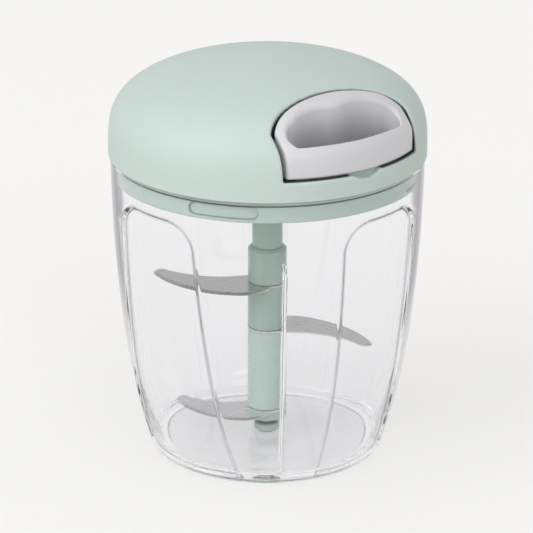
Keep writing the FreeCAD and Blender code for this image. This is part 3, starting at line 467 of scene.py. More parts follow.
def mouldedPlastic(name, colour, shade, roughness, grain=0.5, strength=0.25, sheen=0.35, paintedShadeColour="#3c4a43"):
    # moulded plastic: even colour with a faint flow mottle, satin roughness from fine spark grain of
    # the given size in millimetres, and painted shade: a darker tone where the mesh is marked as lying in
    # shade
    material, tree, place = newMaterial(name)
    noise, flow = noiseNode(tree, place, 1000 / grain, 2, 0.6), noiseNode(tree, place, 28, 3)
    # painted shade: the mark on the mesh mixes in the darker shade colour
    paintedShade = addNode(tree, "ShaderNodeAttribute", attribute_name="paintedShade").outputs["Fac"]
    body = addNode(tree, "ShaderNodeBsdfPrincipled", {
        "Base Color": mixColours(tree, paintedShade, mixColours(tree, flow, colour, shade), paintedShadeColour),
        "Roughness": remap(tree, noise, 0, 1, roughness - 0.05, roughness + 0.05), "IOR": 1.5,
        "Specular IOR Level": sheen, "Normal": bumpNode(tree, noise, strength, grainDepth)})
    return closeMaterial(material, body)


def metalSurface(name, colour, shade, roughness, stretch, turn=0.0, lines=0.25, strength=0.08):
    # metal with brushed or turned lines: the pattern is drawn out along one direction
    material, tree, place = newMaterial(name)
    laid = addNode(tree, "ShaderNodeMapping", {"Vector": place, "Rotation": (0, 0, turn), "Scale": stretch})
    noise = noiseNode(tree, laid.outputs[0], 1000 / lines, 4, 0.7)
    body = addNode(tree, "ShaderNodeBsdfPrincipled", {
        "Base Color": mixColours(tree, noise, colour, shade), "Metallic": 1.0,
        "Roughness": remap(tree, noise, 0, 1, roughness - 0.07, roughness + 0.07),
        "Normal": bumpNode(tree, noise, strength, grainDepth)})
    return closeMaterial(material, body)


clear = {
    "tone": "#fbfbfd", "edgeTone": "#4f4c5a", "through": "#fbfbfc",
    # the tint grows between these shares of turning away from the eye, and between these heights
    "edgeFrom": 0.66, "edgeTo": 0.78, "tintLow": 0.035, "tintHigh": 0.085, "tintAtFoot": 0.35,
    # the floor's coat fades between these distances from the shaft, all in metres
    "glossNear": 0.03, "glossFar": 0.046, "coatIndex": 1.8,
    # size, strength and depth in millimetres of the moulded wall's waviness
    "waveScale": 45, "waveStrength": 0.12, "waveDepth": 0.4,
}


def clearTubPlastic(name, gloss):
    # injection-moulded clear styrene-acrylonitrile: glossy, with the slow waviness of a moulded wall
    material, tree, place = newMaterial(name)
    # where the wall is seen side-on the eye looks through more of it, and its violet-grey tint shows,
    # weakest at the foot
    turned = addNode(tree, "ShaderNodeLayerWeight", {"Blend": 0.5}).outputs["Facing"]
    edge = remap(tree, turned, clear["edgeFrom"], clear["edgeTo"], 0, 1, smooth=True)
    level = addNode(tree, "ShaderNodeSeparateXYZ", {0: place}).outputs["Z"]
    upper = remap(tree, level, clear["tintLow"], clear["tintHigh"], clear["tintAtFoot"], 1, smooth=True)
    # the panels' steps show the same tint, by their mark on the mesh
    step = addNode(tree, "ShaderNodeAttribute", attribute_name="panelStep").outputs["Fac"]
    edge = mathNode(tree, "MAXIMUM", mathNode(tree, "MULTIPLY", edge, upper), step)
    if gloss:
        # the floor's polish is strongest round the shaft and fades towards the wall
        flat = addNode(tree, "ShaderNodeVectorMath", {0: place, 1: (1, 1, 0)}, operation="MULTIPLY")
        reach = addNode(tree, "ShaderNodeVectorMath", {0: flat.outputs[0]}, operation="LENGTH")
        gloss = remap(tree, reach.outputs["Value"], clear["glossNear"], clear["glossFar"], gloss, 0)
    glass = addNode(tree, "ShaderNodeBsdfPrincipled", {
        "Base Color": mixColours(tree, edge, clear["tone"], clear["edgeTone"]), "Roughness": 0.02, "IOR": 1.5,
        "Transmission Weight": 1.0, "Coat Weight": gloss, "Coat IOR": clear["coatIndex"],
        "Normal": bumpNode(tree, noiseNode(tree, place, clear["waveScale"], 1), clear["waveStrength"],
                           clear["waveDepth"])})
    # lamps reach what stands in the tub, as they do through the real thin wall
    through = addNode(tree, "ShaderNodeBsdfTransparent", {"Color": fromHex(clear["through"])})
    shadow = addNode(tree, "ShaderNodeLightPath").outputs["Is Shadow Ray"]
    return closeMaterial(material, mixShaders(tree, shadow, glass, through))


def braidedCord():
    # braided nylon cord: crossing strands that catch the light, soft sheen
    material, tree, place = newMaterial("braidedNylon")
    strands = addNode(tree, "ShaderNodeTexWave", {"Vector": place, "Scale": 900, "Distortion": 1.5},
                      bands_direction="DIAGONAL").outputs[1]
    body = addNode(tree, "ShaderNodeBsdfPrincipled", {
        "Base Color": mixColours(tree, strands, "#e6e5df", "#c7c6bf"), "Roughness": 0.75, "Sheen Weight": 0.3,
        "Normal": bumpNode(tree, strands, 0.5, 0.15)})
    return closeMaterial(material, body)


lidPlastic = mouldedPlastic("satinSageAbs", "#c2d0cb", "#bfcdc8", 0.5)
skirtPlastic = mouldedPlastic("skirtSageAbs", "#bfd2c9", "#bccfc6", 0.5)
acetal = {"grain": 0.8, "strength": 0.08, "sheen": 0.5}
# painted light: one shaft acetal in two copies, a darker one for the neck and the upper sleeves in the lid's
# shade, a lighter one for the lower sleeves and the core in the light
shadedShaftAcetal = mouldedPlastic("shadedGreenAcetal", "#9bb2a7", "#96ada2", 0.24, **acetal)
litShaftAcetal = mouldedPlastic("litGreenAcetal", "#b0c5bb", "#acc1b7", 0.28, **acetal)
# the handle's painted shade, in its gap and finger hole, is a dark grey-violet
handlePlastic = mouldedPlastic("satinGreyAbs", "#d4d3d6", "#d0cfd3", 0.38, sheen=0.5, paintedShadeColour="#474650")
reelPlastic = mouldedPlastic("naturalAcetal", "#e3e2dc", "#dddcd5", 0.4, strength=0.1)
clutchPlastic = mouldedPlastic("glassFilledNylon", "#c9c8c2", "#bdbcb5", 0.6, grain=0.35, strength=0.5)
bushPlastic = mouldedPlastic("darkAcetal", "#4a4a4d", "#424245", 0.45, strength=0.1)
tubPlastic = clearTubPlastic("clearSanPlastic", 0.0)
floorPlastic = clearTubPlastic("polishedSanPlastic", 1.0)  # the floor mirrors the shaft
cordFibre = braidedCord()
turnedSteel = metalSurface("turnedStainless", "#c8c7c5", "#b3b2b0", 0.28, (1, 1, 12))
zincSteel = metalSurface("zincPlatedSteel", "#bfc1c4", "#a9abaf", 0.35, (1, 1, 1), lines=0.6)
springSteel = metalSurface("bluedSpringSteel", "#6b6f78", "#585c66", 0.32, (1, 1, 14))
turnedBrass = metalSurface("turnedBrass", "#d8bd7a", "#c6a964", 0.25, (1, 1, 12))
print("materials ready")


# Lid cover: a domed shell with the handle's pocket in its side

lidCover = {
    "radius": 65.08, "edge": 127.95, "bottom": 129.4, "rise": 40.2, "sidePower": 1.242, "risePower": 0.504,
    "wall": 2.2, "lipBottom": 128.0, "lipInside": 64.5, "lipTop": 134.0, "lipProud": 0.006, "lipUnderShade": 0.7,
    "pocketHalfWidth": 34.0, "pocketReach": 13.7, "pocketCentre": 51.0, "mouthHalfWidth": 32.8,
    "pocketShift": 0.4, "pocketFloor": 136.2, "trayWall": 2.0, "trayBase": 3.0, "trayInset": 1.0,
    "rimRound": 0.9, "innerRound": 0.8,
    "thumbRadius": 11.8, "thumbHeight": 145.7, "thumbShift": 2.3, "thumbFrom": -60.1, "thumbRound": 0.6,
    "eyeRadius": 3.25, "eyeHeight": 144.0, "eyeWall": -36.3, "eyeHalf": 4, "step": 0.8,
}


def domeOutline(count=240):
    # a flattened superellipse: the dome's shoulder is fuller than a circle's
    c = lidCover
    turns = [math.pi / 2 * (k / count) ** 2 for k in range(count)]
    side = [(c["radius"] * math.cos(t) ** c["sidePower"],
             c["edge"] + c["rise"] * math.sin(t) ** c["risePower"]) for t in turns]
    right = [(c["radius"], 100.0)] + side + [(0.0, c["edge"] + c["rise"])]
    return right + [(-r, z) for r, z in right[-2::-1]]


def pocketPlan(gap, sideGap, shift):
    # an ellipse towards the axis, cut off by two straight sides
    c = lidCover
    w, reach, side = c["pocketHalfWidth"] - gap, c["pocketReach"] - gap, c["mouthHalfWidth"] - sideGap
    shoulder = math.asin(side / w)
    turns = [shoulder * k / 60 for k in range(60, -61, -1)]
    back = [(w * math.sin(t) + shift, reach * math.cos(t) - c["pocketCentre"]) for t in turns]
    return [(side + shift, -90.0)] + back + [(shift - side, -90.0)]


domeTable = distanceTable(domeOutline(), (-2, 110), (72, 176))
pocketTable = distanceTable(pocketPlan(0, 0, lidCover["pocketShift"]), (-70, -72), (70, 72), 0.4)


def domeField(x, y, z):
    return readTable(domeTable, np.hypot(x, y), z)


def scoopField(x, z):
    return np.hypot(x - lidCover["thumbShift"], z - lidCover["thumbHeight"]) - lidCover["thumbRadius"]


def lidCoverField(x, y, z):
    c = lidCover
    dome, pocket = domeField(x, y, z), readTable(pocketTable, x, y)
    shell = np.maximum(np.maximum(dome, c["bottom"] - z), -(dome + c["wall"]))
    tray = np.maximum(pocket - c["trayWall"], c["pocketFloor"] - c["trayBase"] - z)
    tray = np.maximum(tray, dome + c["trayInset"])
    room = roundMax(pocket, c["pocketFloor"] - z, c["innerRound"])
    lid = roundMax(roundMin(shell, tray, c["innerRound"]), -room, c["rimRound"])
    lid = roundMax(lid, -roundMax(scoopField(x, z), y - c["thumbFrom"], c["thumbRound"]), c["thumbRound"])
    eye = np.hypot(x, z - c["eyeHeight"]) - c["eyeRadius"]
    return np.maximum(lid, -np.maximum(eye, np.abs(y - c["eyeWall"]) - c["eyeHalf"]))


cover = fieldObject("lidCover", lidCoverField, (-66.5, -66.5, 128), (66.5, 66.5, 169.5), lidCover["step"])
finish(cover, "lid", "green_shell", lidPlastic, "lid_cover")


def makeLip():
    # the thin lip outside the tub's rim: its skin runs on up the dome and fades into it
    c = lidCover
    side = [(r, z) for r, z in domeOutline()[1:120] if c["lipBottom"] + 0.6 < z < c["lipTop"]][::6]
    outer = [(r + c["lipProud"] * (c["lipTop"] - 1 - z), z) for r, z in side]
    bottom = c["lipBottom"]
    low = [(c["lipInside"], bottom + 0.12), (c["lipInside"] + 0.12, bottom), (c["radius"] - 0.25, bottom),
           (c["radius"] - 0.05, bottom + 0.1), (c["radius"] + 0.02, bottom + 0.35)]
    return lathe("lidLip", low + outer + [(c["lipInside"], c["lipTop"])], 240, 40)


lip = makeLip()
# painted shade: the lip's lower edge is marked darker, for the shade under the lid's edge
addMark(lip, "paintedShade", lidCover["lipUnderShade"] * (vertexPlaces(lip)[2] < lidCover["lipBottom"] + 0.15))
finish(lip, "lid", "green_shell", lidPlastic)
print("lid cover", len(cover.data.polygons))


# Pull handle: a finger ring that fills the pocket and follows the dome

pullHandle = {
    "gap": 0.9, "sideGap": 1.6, "shift": 0.9, "skinGap": 0.2, "bottom": 137.0, "step": 0.45,
    "outerRound": 1.0, "footRound": 0.6, "backRound": 1.8, "frontRound": 0.7, "roundFrom": -56,
    "roundTo": -50, "faceRadius": 63.5, "crease": 147.3, "creaseRound": 0.8, "bevelRise": 0.9,
    "bevelRound": 1.5,
    "holeHalfWidth": 26.8, "holeInner": 44.6, "holeOuter": 60.6, "holeRidge": 46.4, "ridgeHalfWidth": 2.4,
    "holeEnd": 51.5, "holeCornerInset": 1.3, "holeCornerReach": 3.7, "holeSoft": 1.3,
    # points on the hole's inner side: a share of its half-width and how far outwards
    "holeCrest": (0.44, 0), "holeLobe": (0.8, 2.2), "holeShoulder": (0.956, 4),
    "cordHeight": 144.0, "cordWay": 1.2, "wayHalf": 1.9, "knotRoom": 2.5, "knotSeat": 39.8,
}


def fingerHolePlan():
    h = pullHandle
    w, inner = h["holeHalfWidth"], h["holeInner"]
    crest, lobe, shoulder = [(w * share, -inner - out) for share, out in (
        h["holeCrest"], h["holeLobe"], h["holeShoulder"])]
    start, end = (h["ridgeHalfWidth"], -h["holeRidge"]), (w, -h["holeEnd"])
    front = (w - h["holeCornerInset"], -h["holeEnd"] - h["holeCornerReach"])
    right = [start] + arcPoints(start, crest, lobe, 14) + arcPoints(lobe, shoulder, end, 10) + [front]
    middle = arcPoints(front, (0, -h["holeOuter"]), (-front[0], front[1]), 40)
    return right + middle + [(-x, y) for x, y in right[-2::-1]]


def soften(table, reach):
    # blurs a table, which rounds the outline's corners
    steps = np.arange(-2 * reach, 2 * reach + 0.01, table["step"])
    weights = np.exp(-(steps / reach) ** 2)
    weights /= weights.sum()
    pad = len(steps) // 2
    for axis in (0, 1):
        wide = np.pad(table["grid"], [(pad, pad) if side == axis else (0, 0) for side in (0, 1)], "edge")
        table["grid"] = np.apply_along_axis(lambda line: np.convolve(line, weights, "valid"), axis, wide)
    return table


handleSpan = ((-40, -72), (40, -30))
holeTable = soften(distanceTable(fingerHolePlan(), *handleSpan), pullHandle["holeSoft"])
handlePlan = pocketPlan(pullHandle["gap"], pullHandle["sideGap"], pullHandle["shift"])
handleTable = distanceTable(handlePlan, *handleSpan)


def pullHandleField(x, y, z):
    h = pullHandle
    r = np.hypot(x, y)
    block = roundMax(readTable(handleTable, x, y), h["bottom"] - z, h["footRound"])
    bevel = (z - h["crease"] - (h["faceRadius"] - r) * h["bevelRise"]) / math.hypot(1, h["bevelRise"])
    top = roundMax(domeField(x, y, z) + h["skinGap"], bevel, h["bevelRound"])
    block = roundMax(block, roundMax(top, r - h["faceRadius"], h["creaseRound"]), h["outerRound"])
    # the finger hole's rim is soft at the back and crisp at the front
    rim = h["frontRound"] + (h["backRound"] - h["frontRound"]) * smoothStep(h["roundFrom"], h["roundTo"], y)
    handle = roundMax(block, -readTable(holeTable, x, y), rim)
    # the cord's slot and the knot's chamber, both open from below
    for half, middle, reach in ((h["cordWay"], h["knotSeat"] - 1, h["wayHalf"]),
                                (h["knotRoom"], h["knotSeat"] + h["knotRoom"], h["knotRoom"])):
        room = np.maximum(np.abs(x) - half, np.abs(y + middle) - reach)
        handle = np.maximum(handle, -np.maximum(room, z - h["cordHeight"] - half))
    return handle


# Painted shade: the walls of the gap round the handle are painted dark, so that the gap reads as a dark line,
# and the finger hole is painted darker with depth.
# "deep" is the depth at which the gap's painted shade starts on each piece, "fade" how softly it ends at the
# hole

paintedShadeSettings = {
    "lidCover": {"deep": 0.4, "fade": 1.4}, "pullHandle": {"deep": 1.6, "fade": 0.4},
    "wallFrom": -1.8, "wallTo": -1.0, "floorFrom": 0.6, "floorTo": 0.1, "onset": 0.9, "pocketEdge": 0.6,
    "easeFrom": 4, "easeTo": 9, "ease": 0.5, "scoopY": -50, "scoopFrom": 0.2, "scoopTo": 0.9,
    "holeShade": 0.45, "holeFrom": 3, "holeTo": 16, "holeEdge": 0.4,
}


def paintShadeMarks(piece):
    w, own = paintedShadeSettings, paintedShadeSettings[piece.name]
    x, y, z = vertexPlaces(piece)
    pocket, hole, depth = readTable(pocketTable, x, y), readTable(holeTable, x, y), -domeField(x, y, z)
    wall = smoothStep(w["wallFrom"], w["wallTo"], pocket)
    floor = smoothStep(w["floorFrom"], w["floorTo"], z - lidCover["pocketFloor"])
    beside = np.clip(wall + floor, 0, 1) * smoothStep(own["deep"], own["deep"] + w["onset"], depth)
    beside *= (1 - w["ease"] * smoothStep(w["easeFrom"], w["easeTo"], depth)) * (pocket < w["pocketEdge"])
    if piece is cover:
        scoop = smoothStep(w["scoopFrom"], w["scoopTo"], scoopField(x, z))
        beside *= np.where(y < w["scoopY"], scoop, 1)
    within = w["holeShade"] * smoothStep(w["holeFrom"], w["holeTo"], depth) * (hole < w["holeEdge"])
    addMark(piece, "paintedShade", np.maximum(beside * smoothStep(0, own["fade"], hole), within * (pocket < 0)))


handle = fieldObject("pullHandle", pullHandleField, (-34.5, -66, 135.8), (34.5, -36, 166), pullHandle["step"])
paintShadeMarks(cover)
paintShadeMarks(handle)
finish(handle, "handle", "grey_handle", handlePlastic, "pull_handle")
print("pull handle", len(handle.data.polygons))


# Lid base: skirt plugged into the tub, with shallow oval recesses

lidBase = {
    "skirtRadius": 62.2, "bodyRadius": 60.9, "skinInside": 60.3, "bottom": 119.0, "edge": 129.4,
    "flangeTop": 131.4, "flangeRadius": 62.75, "bodyInside": 59.8, "plateTop": 121.5,
    "bore": 10.65, "bearingRadius": 13.65, "bearingTop": 126.9,
    "bossCircle": 46.0, "bossTurns": (-30, 90, 210), "padRadius": 4.5, "padTop": 124.5,
    "headRadius": 3.1, "headDepth": 2.3, "screwRadius": 1.6, "step": 0.75,
    "ovalTurn": -52, "ovalCount": 4, "ovalHalfLength": 14.0, "ovalHalfHeight": 2.5, "ovalDepth": 1.1,
    "ovalHeight": 123.0, "ovalEdge": 0.15, "ovalEdgeShade": 0.55, "ovalMargin": 0.6,
    "ovalRows": (120.2, 125.55, 0.18),
    "lineHeight": 125.9, "lineHalf": 0.3, "lineDepth": 0.7,
}


def lidBaseField(x, y, z):
    b = lidBase
    r = np.hypot(x, y)
    skirt = np.maximum(r - b["bodyRadius"], b["bottom"] - z)
    flange = np.maximum(r - b["flangeRadius"], b["edge"] - z)
    base = np.maximum(np.minimum(skirt, flange), z - b["flangeTop"])
    room = np.maximum(r - b["bodyInside"], b["plateTop"] - z)
    room = np.maximum(room, -np.maximum(r - b["bearingRadius"], z - b["bearingTop"]))
    screw = b["bore"] - r
    for px, py in (polar(b["bossCircle"], turn) for turn in b["bossTurns"]):
        off = np.hypot(x - px, y - py)
        room = np.maximum(room, -np.maximum(off - b["padRadius"], z - b["padTop"]))
        screw = np.maximum(screw, -np.maximum(off - b["headRadius"], z - b["bottom"] - b["headDepth"]))
        screw = np.maximum(screw, b["screwRadius"] - off)
    return np.maximum(np.maximum(base, -room), screw)


base = fieldObject("lidBase", lidBaseField, (-63.5, -63.5, 118.2), (63.5, 63.5, 132.2), lidBase["step"])
finish(base, "lid", "green_shell", skirtPlastic, "lid_base")


def ovalField(across, height):
    # distance to an oval's outline on the unrolled skirt
    b = lidBase
    along = np.maximum(np.abs(across) - b["ovalHalfLength"] + b["ovalHalfHeight"], 0)
    return np.hypot(along, height - b["ovalHeight"]) - b["ovalHalfHeight"]


def skirtRing(radius, height, carved):
    # columns stand close together across the ovals, so that their outline stays crisp
    b = lidBase
    shown = math.degrees(math.asin(b["ovalHalfLength"] / b["skirtRadius"])) + b["ovalMargin"]
    spans = ((-45, -shown, 20), (-shown, shown, 100), (shown, 45, 20))
    turns = np.radians(np.concatenate([np.linspace(*span, endpoint=False) for span in spans]))
    out = np.full(turns.shape, float(radius))
    if carved:
        off = ovalField(radius * np.sin(turns), height)
        out -= b["ovalDepth"] * smoothStep(b["ovalEdge"], -b["ovalEdge"], off)
    quarters = [turns + math.radians(b["ovalTurn"] - 90 + 90 * k) for k in range(b["ovalCount"])]
    angle = np.concatenate(quarters)
    out = np.tile(out, b["ovalCount"])
    return np.stack([out * np.cos(angle), out * np.sin(angle), np.full(angle.shape, height)], axis=1)


def makeSkirtSkin():
    b = lidBase
    low, high, r = b["bottom"], b["edge"], b["skirtRadius"]
    rings = [(b["skinInside"], high, False), (b["skinInside"], low, False), (r - 0.6, low, False),
             (r - 0.3, low + 0.06, False), (r - 0.06, low + 0.3, False), (r, low + 0.6, False)]
    rings += [(r, z, True) for z in np.arange(*b["ovalRows"])]
    # the seal line is a fine groove with its edges broken
    line, half, depth, soft = b["lineHeight"], b["lineHalf"], b["lineDepth"], 0.05
    groove = [(r, half + soft), (r - soft, half), (r - depth, half - soft)]
    rings += [(out, line - rise, False) for out, rise in groove]
    rings += [(out, line + rise, False) for out, rise in groove[::-1]]
    rings += [(r, low + 8, False), (r, high, False)]
    rings = [skirtRing(*ring) for ring in rings]
    size = len(rings[0])
    faces = ringFaces(len(rings), size)
    last = (len(rings) - 1) * size
    faces += [(last + k, last + (k + 1) % size, (k + 1) % size, k) for k in range(size)]
    return faceOutwards(meshObject("skirtSkin", np.concatenate(rings), faces, 40))


def markSkirt(piece):
    # painted shade: the seal line's groove and the ovals' edges are painted dark, so that they read as fine
    # dark lines
    b = lidBase
    x, y, z = vertexPlaces(piece)
    r = np.hypot(x, y)
    line = (r < b["skirtRadius"] - b["lineDepth"] / 2) & (np.abs(z - b["lineHeight"]) < b["lineHalf"])
    turn = (np.degrees(np.arctan2(y, x)) + 90 - b["ovalTurn"] + 45) % 90 - 45
    off = ovalField(b["skirtRadius"] * np.sin(np.radians(turn)), z)
    rim = np.clip(1 - np.abs(off + b["ovalEdge"] / 3) / (2 * b["ovalEdge"]), 0, 1)
    rim *= b["ovalEdgeShade"] * (r > b["skinInside"] + 0.3)
    addMark(piece, "paintedShade", np.maximum(line * 1.0, rim))


skirtSkin = makeSkirtSkin()
markSkirt(skirtSkin)
finish(skirtSkin, "lid", "green_shell", skirtPlastic)
print("lid base", len(base.data.polygons))


# Tub: one closed clear wall with recessed panels outside and upright ribs inside

tub = {
    "height": 129.1, "rimRadius": 64.3, "middleRadius": 59.3, "middleHeight": 50.0, "footRadius": 48.7,
    "ringHeight": 2.6, "bulge": 1.15, "wall": 1.9, "rimRound": 0.6,
    # the floor's rounded corner, and how far its middle lies in from both flats, as a share
    "floor": 4.0, "floorCorner": 3.5, "cornerTurn": 0.293,
    # each panel's turn, the half-width of its foot, half the width of its step and the bead beside it
    "panels": ((-82.5, 27.0, 0.75, 0.2), (12.5, 19.5, 0.75, 0.2),
               (97.5, 27.0, 2.6, 0.0), (192.5, 19.5, 2.6, 0.0)),
    "panelHalf": 21.0, "panelTop": 115.2, "panelCorner": 12.0, "panelDepth": 1.1, "panelSill": 0.7,
    "beadHalf": 1.1, "stepTint": 0.7, "tintHalf": 0.3, "tintAtFoot": 0.55,
    "tintHeights": (10, 70), "leastRadius": 48,
    "ribTurn": -29.3, "ribHalf": 0.55, "ribDepth": 2.4, "ribTop": 102.0, "ribTaper": 9.0, "ribRound": 4,
    "ribTopShare": 0.4, "ribSoft": (0.35, -0.3), "ribStart": (4.2, 5.4),
    "underRings": ((0, 0.6), (20, 0.6), (38, 0.6), (41.9, 0.6), (42.2, 0.55), (42.5, 0.3), (42.8, 0.05),
                   (43.1, 0.0), (45.8, 0.0)),
    "footArc": ((46.1, 0.0), (47.514, 0.586), (48.1, 2.0)),
    # spans of one quarter in degrees from a panel's middle, each with its step: close together at
    # the rib and at the panel's edges
    "spans": ((-45, -41.8, 0.8), (-41.8, -38.2, 0.18), (-38.2, -22.4, 1.45), (-22.4, -16.8, 0.25),
              (-16.8, -7.9, 0.5), (-7.9, 7.9, 1.6), (7.9, 16.8, 0.5), (16.8, 22.4, 0.25), (22.4, 45, 1.5)),
    "ribTurnShare": -40, "panelTurnShare": 19.2,
}


def wallCurve(inset, low, swell):
    # radius of the wall at each height: two arcs that meet at the middle height
    t = tub
    mid = (t["middleRadius"] - inset, t["middleHeight"])
    top = (t["rimRadius"] - inset, t["height"] - t["rimRound"])
    lowMid = ((t["footRadius"] - inset + mid[0]) / 2 + t["bulge"] + swell, (t["ringHeight"] + mid[1]) / 2)
    topMid = ((mid[0] + top[0]) / 2 + t["bulge"], (mid[1] + top[1]) / 2)
    points = [low] + arcPoints(low, lowMid, mid, 60) + arcPoints(mid, topMid, top, 100)
    radii, heights = zip(*points)
    return lambda z: float(np.interp(z, heights, radii))


def spaced(*spans):
    # heights along the wall: the start, end and step of each span
    return [height for span in spans for height in np.arange(*span)]


def tubSection():
    # from the middle of the underside, round the wall, to the middle of the floor inside; close
    # rings beside each bend keep the flats between them plain
    t = tub
    turn = t["floorCorner"] * t["cornerTurn"]
    corner = (t["footRadius"] - t["wall"] + 0.9, t["floor"] + t["floorCorner"])
    outer, inner = wallCurve(0, (t["footRadius"], t["ringHeight"]), 0), wallCurve(t["wall"], corner, 0.15)
    foot = [t["footArc"][0]] + arcPoints(*t["footArc"], 6)
    section = [(r, z, "foot") for r, z in [*t["underRings"], *foot]]
    heights = [2.6, 2.9, 3.3, 3.8, 4.5, 5.6, 7.4] + spaced((10, 96, 2.6), (98, 118.6, 0.6))
    section += [(outer(z), z, "outer") for z in heights + [119.4, 121.5, 124, 126, 128.5]]
    rim, within, top = t["rimRadius"], t["rimRadius"] - t["wall"], t["height"]
    edge = [(rim - 0.18, top - 0.18), (rim - t["rimRound"], top), (within + 0.5, top),
            (within + 0.12, top - 0.14), (within, top - t["rimRound"])]
    section += [(r, z, "plain") for r, z in edge]
    heights = spaced((128, 104, -3), (102.6, 98, -0.3), (97.4, 92, -1), (90, 8, -3))
    section += [(inner(z), z, "inner") for z in heights]
    turned, flat = (corner[0] - turn, t["floor"] + turn), (corner[0] - t["floorCorner"], t["floor"])
    section += [(r, z, "inner") for r, z in [corner] + arcPoints(corner, turned, flat, 8)]
    section += [(r, t["floor"], "plain") for r in (flat[0] - 0.3, 40, 30, 15, 0)]
    return section


def tubTurns():
    turns = []
    for start, end, step in tub["spans"]:
        count = round((end - start) / step)
        turns += [start + (end - start) * k / count for k in range(count)]
    return np.array(turns)


def tubPanel(turns, radius, height, kind, panel, before, after):
    # the wall over one panel and half of the strips beside it: angles about the tub and radii
    t = tub
    middle, footHalf, edge, bead = panel
    half = np.interp(height, [t["ringHeight"], t["panelTop"] - t["panelCorner"]], [footHalf, t["panelHalf"]])
    rib = (t["ribTurn"] - middle) % 90 - 90
    if kind == "inner":
        a = np.interp(turns, [-45, t["ribTurnShare"], 0, 45], [-before, rib, 0, after])
    elif kind == "plain":
        a = np.interp(turns, [-45, 0, 45], [-before, 0, after])
    else:
        shown = math.degrees(math.asin(half / max(radius, t["leastRadius"])))
        share = t["panelTurnShare"]
        a = np.interp(turns, [-45, -share, 0, share, 45], [-before, -shown, 0, shown, after])
    a = np.radians(a)
    out = np.full(a.shape, float(radius))
    marked = np.zeros(a.shape)
    if kind == "outer":
        sideX = np.abs(radius * np.sin(a)) - (half - t["panelCorner"])
        sideZ = height - (t["panelTop"] - t["panelCorner"])
        off = np.hypot(np.maximum(sideX, 0), max(sideZ, 0)) + np.minimum(np.maximum(sideX, sideZ), 0)
        off = np.maximum(off - t["panelCorner"], t["ringHeight"] + t["panelSill"] - height)
        out -= t["panelDepth"] * smoothStep(edge, -edge, off)
        out += bead * np.maximum(1 - ((off - edge) / t["beadHalf"]) ** 2, 0) ** 2
        if bead:
            # two fine lines with a clear one between them, weaker towards the foot
            marked = sum(np.exp(-((off + side) / t["tintHalf"]) ** 2) for side in (-edge, edge))
            upper = smoothStep(*t["tintHeights"], height)
            marked *= t["stepTint"] * (t["tintAtFoot"] + (1 - t["tintAtFoot"]) * upper)
    if kind == "inner":
        across = radius * np.sin(a - math.radians(rib))
        # the rib narrows and fades towards its rounded top, and towards the floor
        below, least = t["ribTop"] - height, t["ribTopShare"]
        off = np.abs(across) - t["ribHalf"] * (least + (1 - least) * smoothStep(0, t["ribTaper"], below))
        rise = t["ribDepth"] * min(1, math.sqrt(max(below, 0) / t["ribRound"]))
        out -= rise * smoothStep(*t["ribStart"], height) * smoothStep(*t["ribSoft"], off)
    return a + math.radians(middle - 90), out, marked


def tubRing(radius, height, kind):
    panels = tub["panels"]
    turns = tubTurns()
    parts = []
    for k, panel in enumerate(panels):
        before = (panel[0] - panels[k - 1][0]) % 360 / 2
        after = (panels[(k + 1) % len(panels)][0] - panel[0]) % 360 / 2
        parts.append(tubPanel(turns, radius, height, kind, panel, before, after))
    angle, out, marked = (np.concatenate(values) for values in zip(*parts))
    return np.stack([out * np.cos(angle), out * np.sin(angle), np.full(angle.shape, height), marked], axis=1)


def makeTub():
    section = tubSection()
    rings = [tubRing(r, z, kind) for r, z, kind in section[1:-1]]
    size = len(rings[0])
    points = np.concatenate(rings + [[(0, 0, section[0][1], 0)], [(0, 0, section[-1][1], 0)]])
    faces = ringFaces(len(rings), size)
    bottomPole, topPole = len(points) - 2, len(points) - 1
    last = (len(rings) - 1) * size
    for k in range(size):
        after = (k + 1) % size
        faces += [(after, k, bottomPole), (last + k, last + after, topPole)]
    piece = meshObject("clearTub", points[:, :3], faces, 35)
    addMark(piece, "panelStep", points[:, 3])
    return faceOutwards(piece)


clearTub = makeTub()
finish(clearTub, "bowl", "clear_tub", tubPlastic, "bowl")
clearTub.data.materials.append(floorPlastic)
for face in clearTub.data.polygons:
    face.material_index = int(abs(face.center.z - tub["floor"] * mm) < 0.01 * mm)
print("tub", len(clearTub.data.polygons))


# Blades: stamped crescents with a ground leading edge and a hexagonal hole

blades = {
    "thickness": 1.0, "hub": 8.2, "hubTurns": (112, -48, -148), "edge": 0.14, "ground": 1.3, "lip": 0.16,
    "flats": 8.08, "sharp": 18,
    # painted light: each blade has its own copy of the same stainless, lighter the lower it sits
    "upper": {"height": 71.1, "reach": 48.6, "belly": 18.4, "turn": 133.7, "steel": ("#d9d7d3", "#bfbdb9")},
    "middle": {"height": 51.1, "reach": 47.8, "belly": 16.0, "turn": -60.4, "steel": ("#dfddd9", "#c8c6c2")},
    "lower": {"height": 15.3, "reach": 39.0, "belly": 18.6, "turn": 136.1, "steel": ("#f3f1ee", "#e0deda")},
}


def bladeOutline(reach, belly):
    # points of the outline and how much of each is ground: the bulging edge leads
    front, back, root = [polar(blades["hub"], turn) for turn in blades["hubTurns"]]
    shoulder, tip, heel = (reach * 0.16, belly - 0.5), (reach - 1, 1.6), (reach - 3.6, -3.6)
    parts = [
        (arcPoints(front, (-0.4, belly - 5.4), shoulder, 12), 0.0, 1.0),
        (arcPoints(shoulder, (reach * 0.62, belly - 3.2), tip, 48), 1.0, 1.0),
        (arcPoints(tip, (reach - 0.6, -2.2), heel, 8), 1.0, 0.0),
        (arcPoints(heel, (reach * 0.53, 0.9), back, 40), 0.0, 0.0),
        (arcPoints(back, root, front, 30), 0.0, 0.0),
    ]
    points, ground = [], []
    for arc, start, end in parts:
        for k, point in enumerate(arc, start=1):
            points.append(point)
            ground.append(start + (end - start) * k / len(arc))
    return np.array(points), np.array(ground)


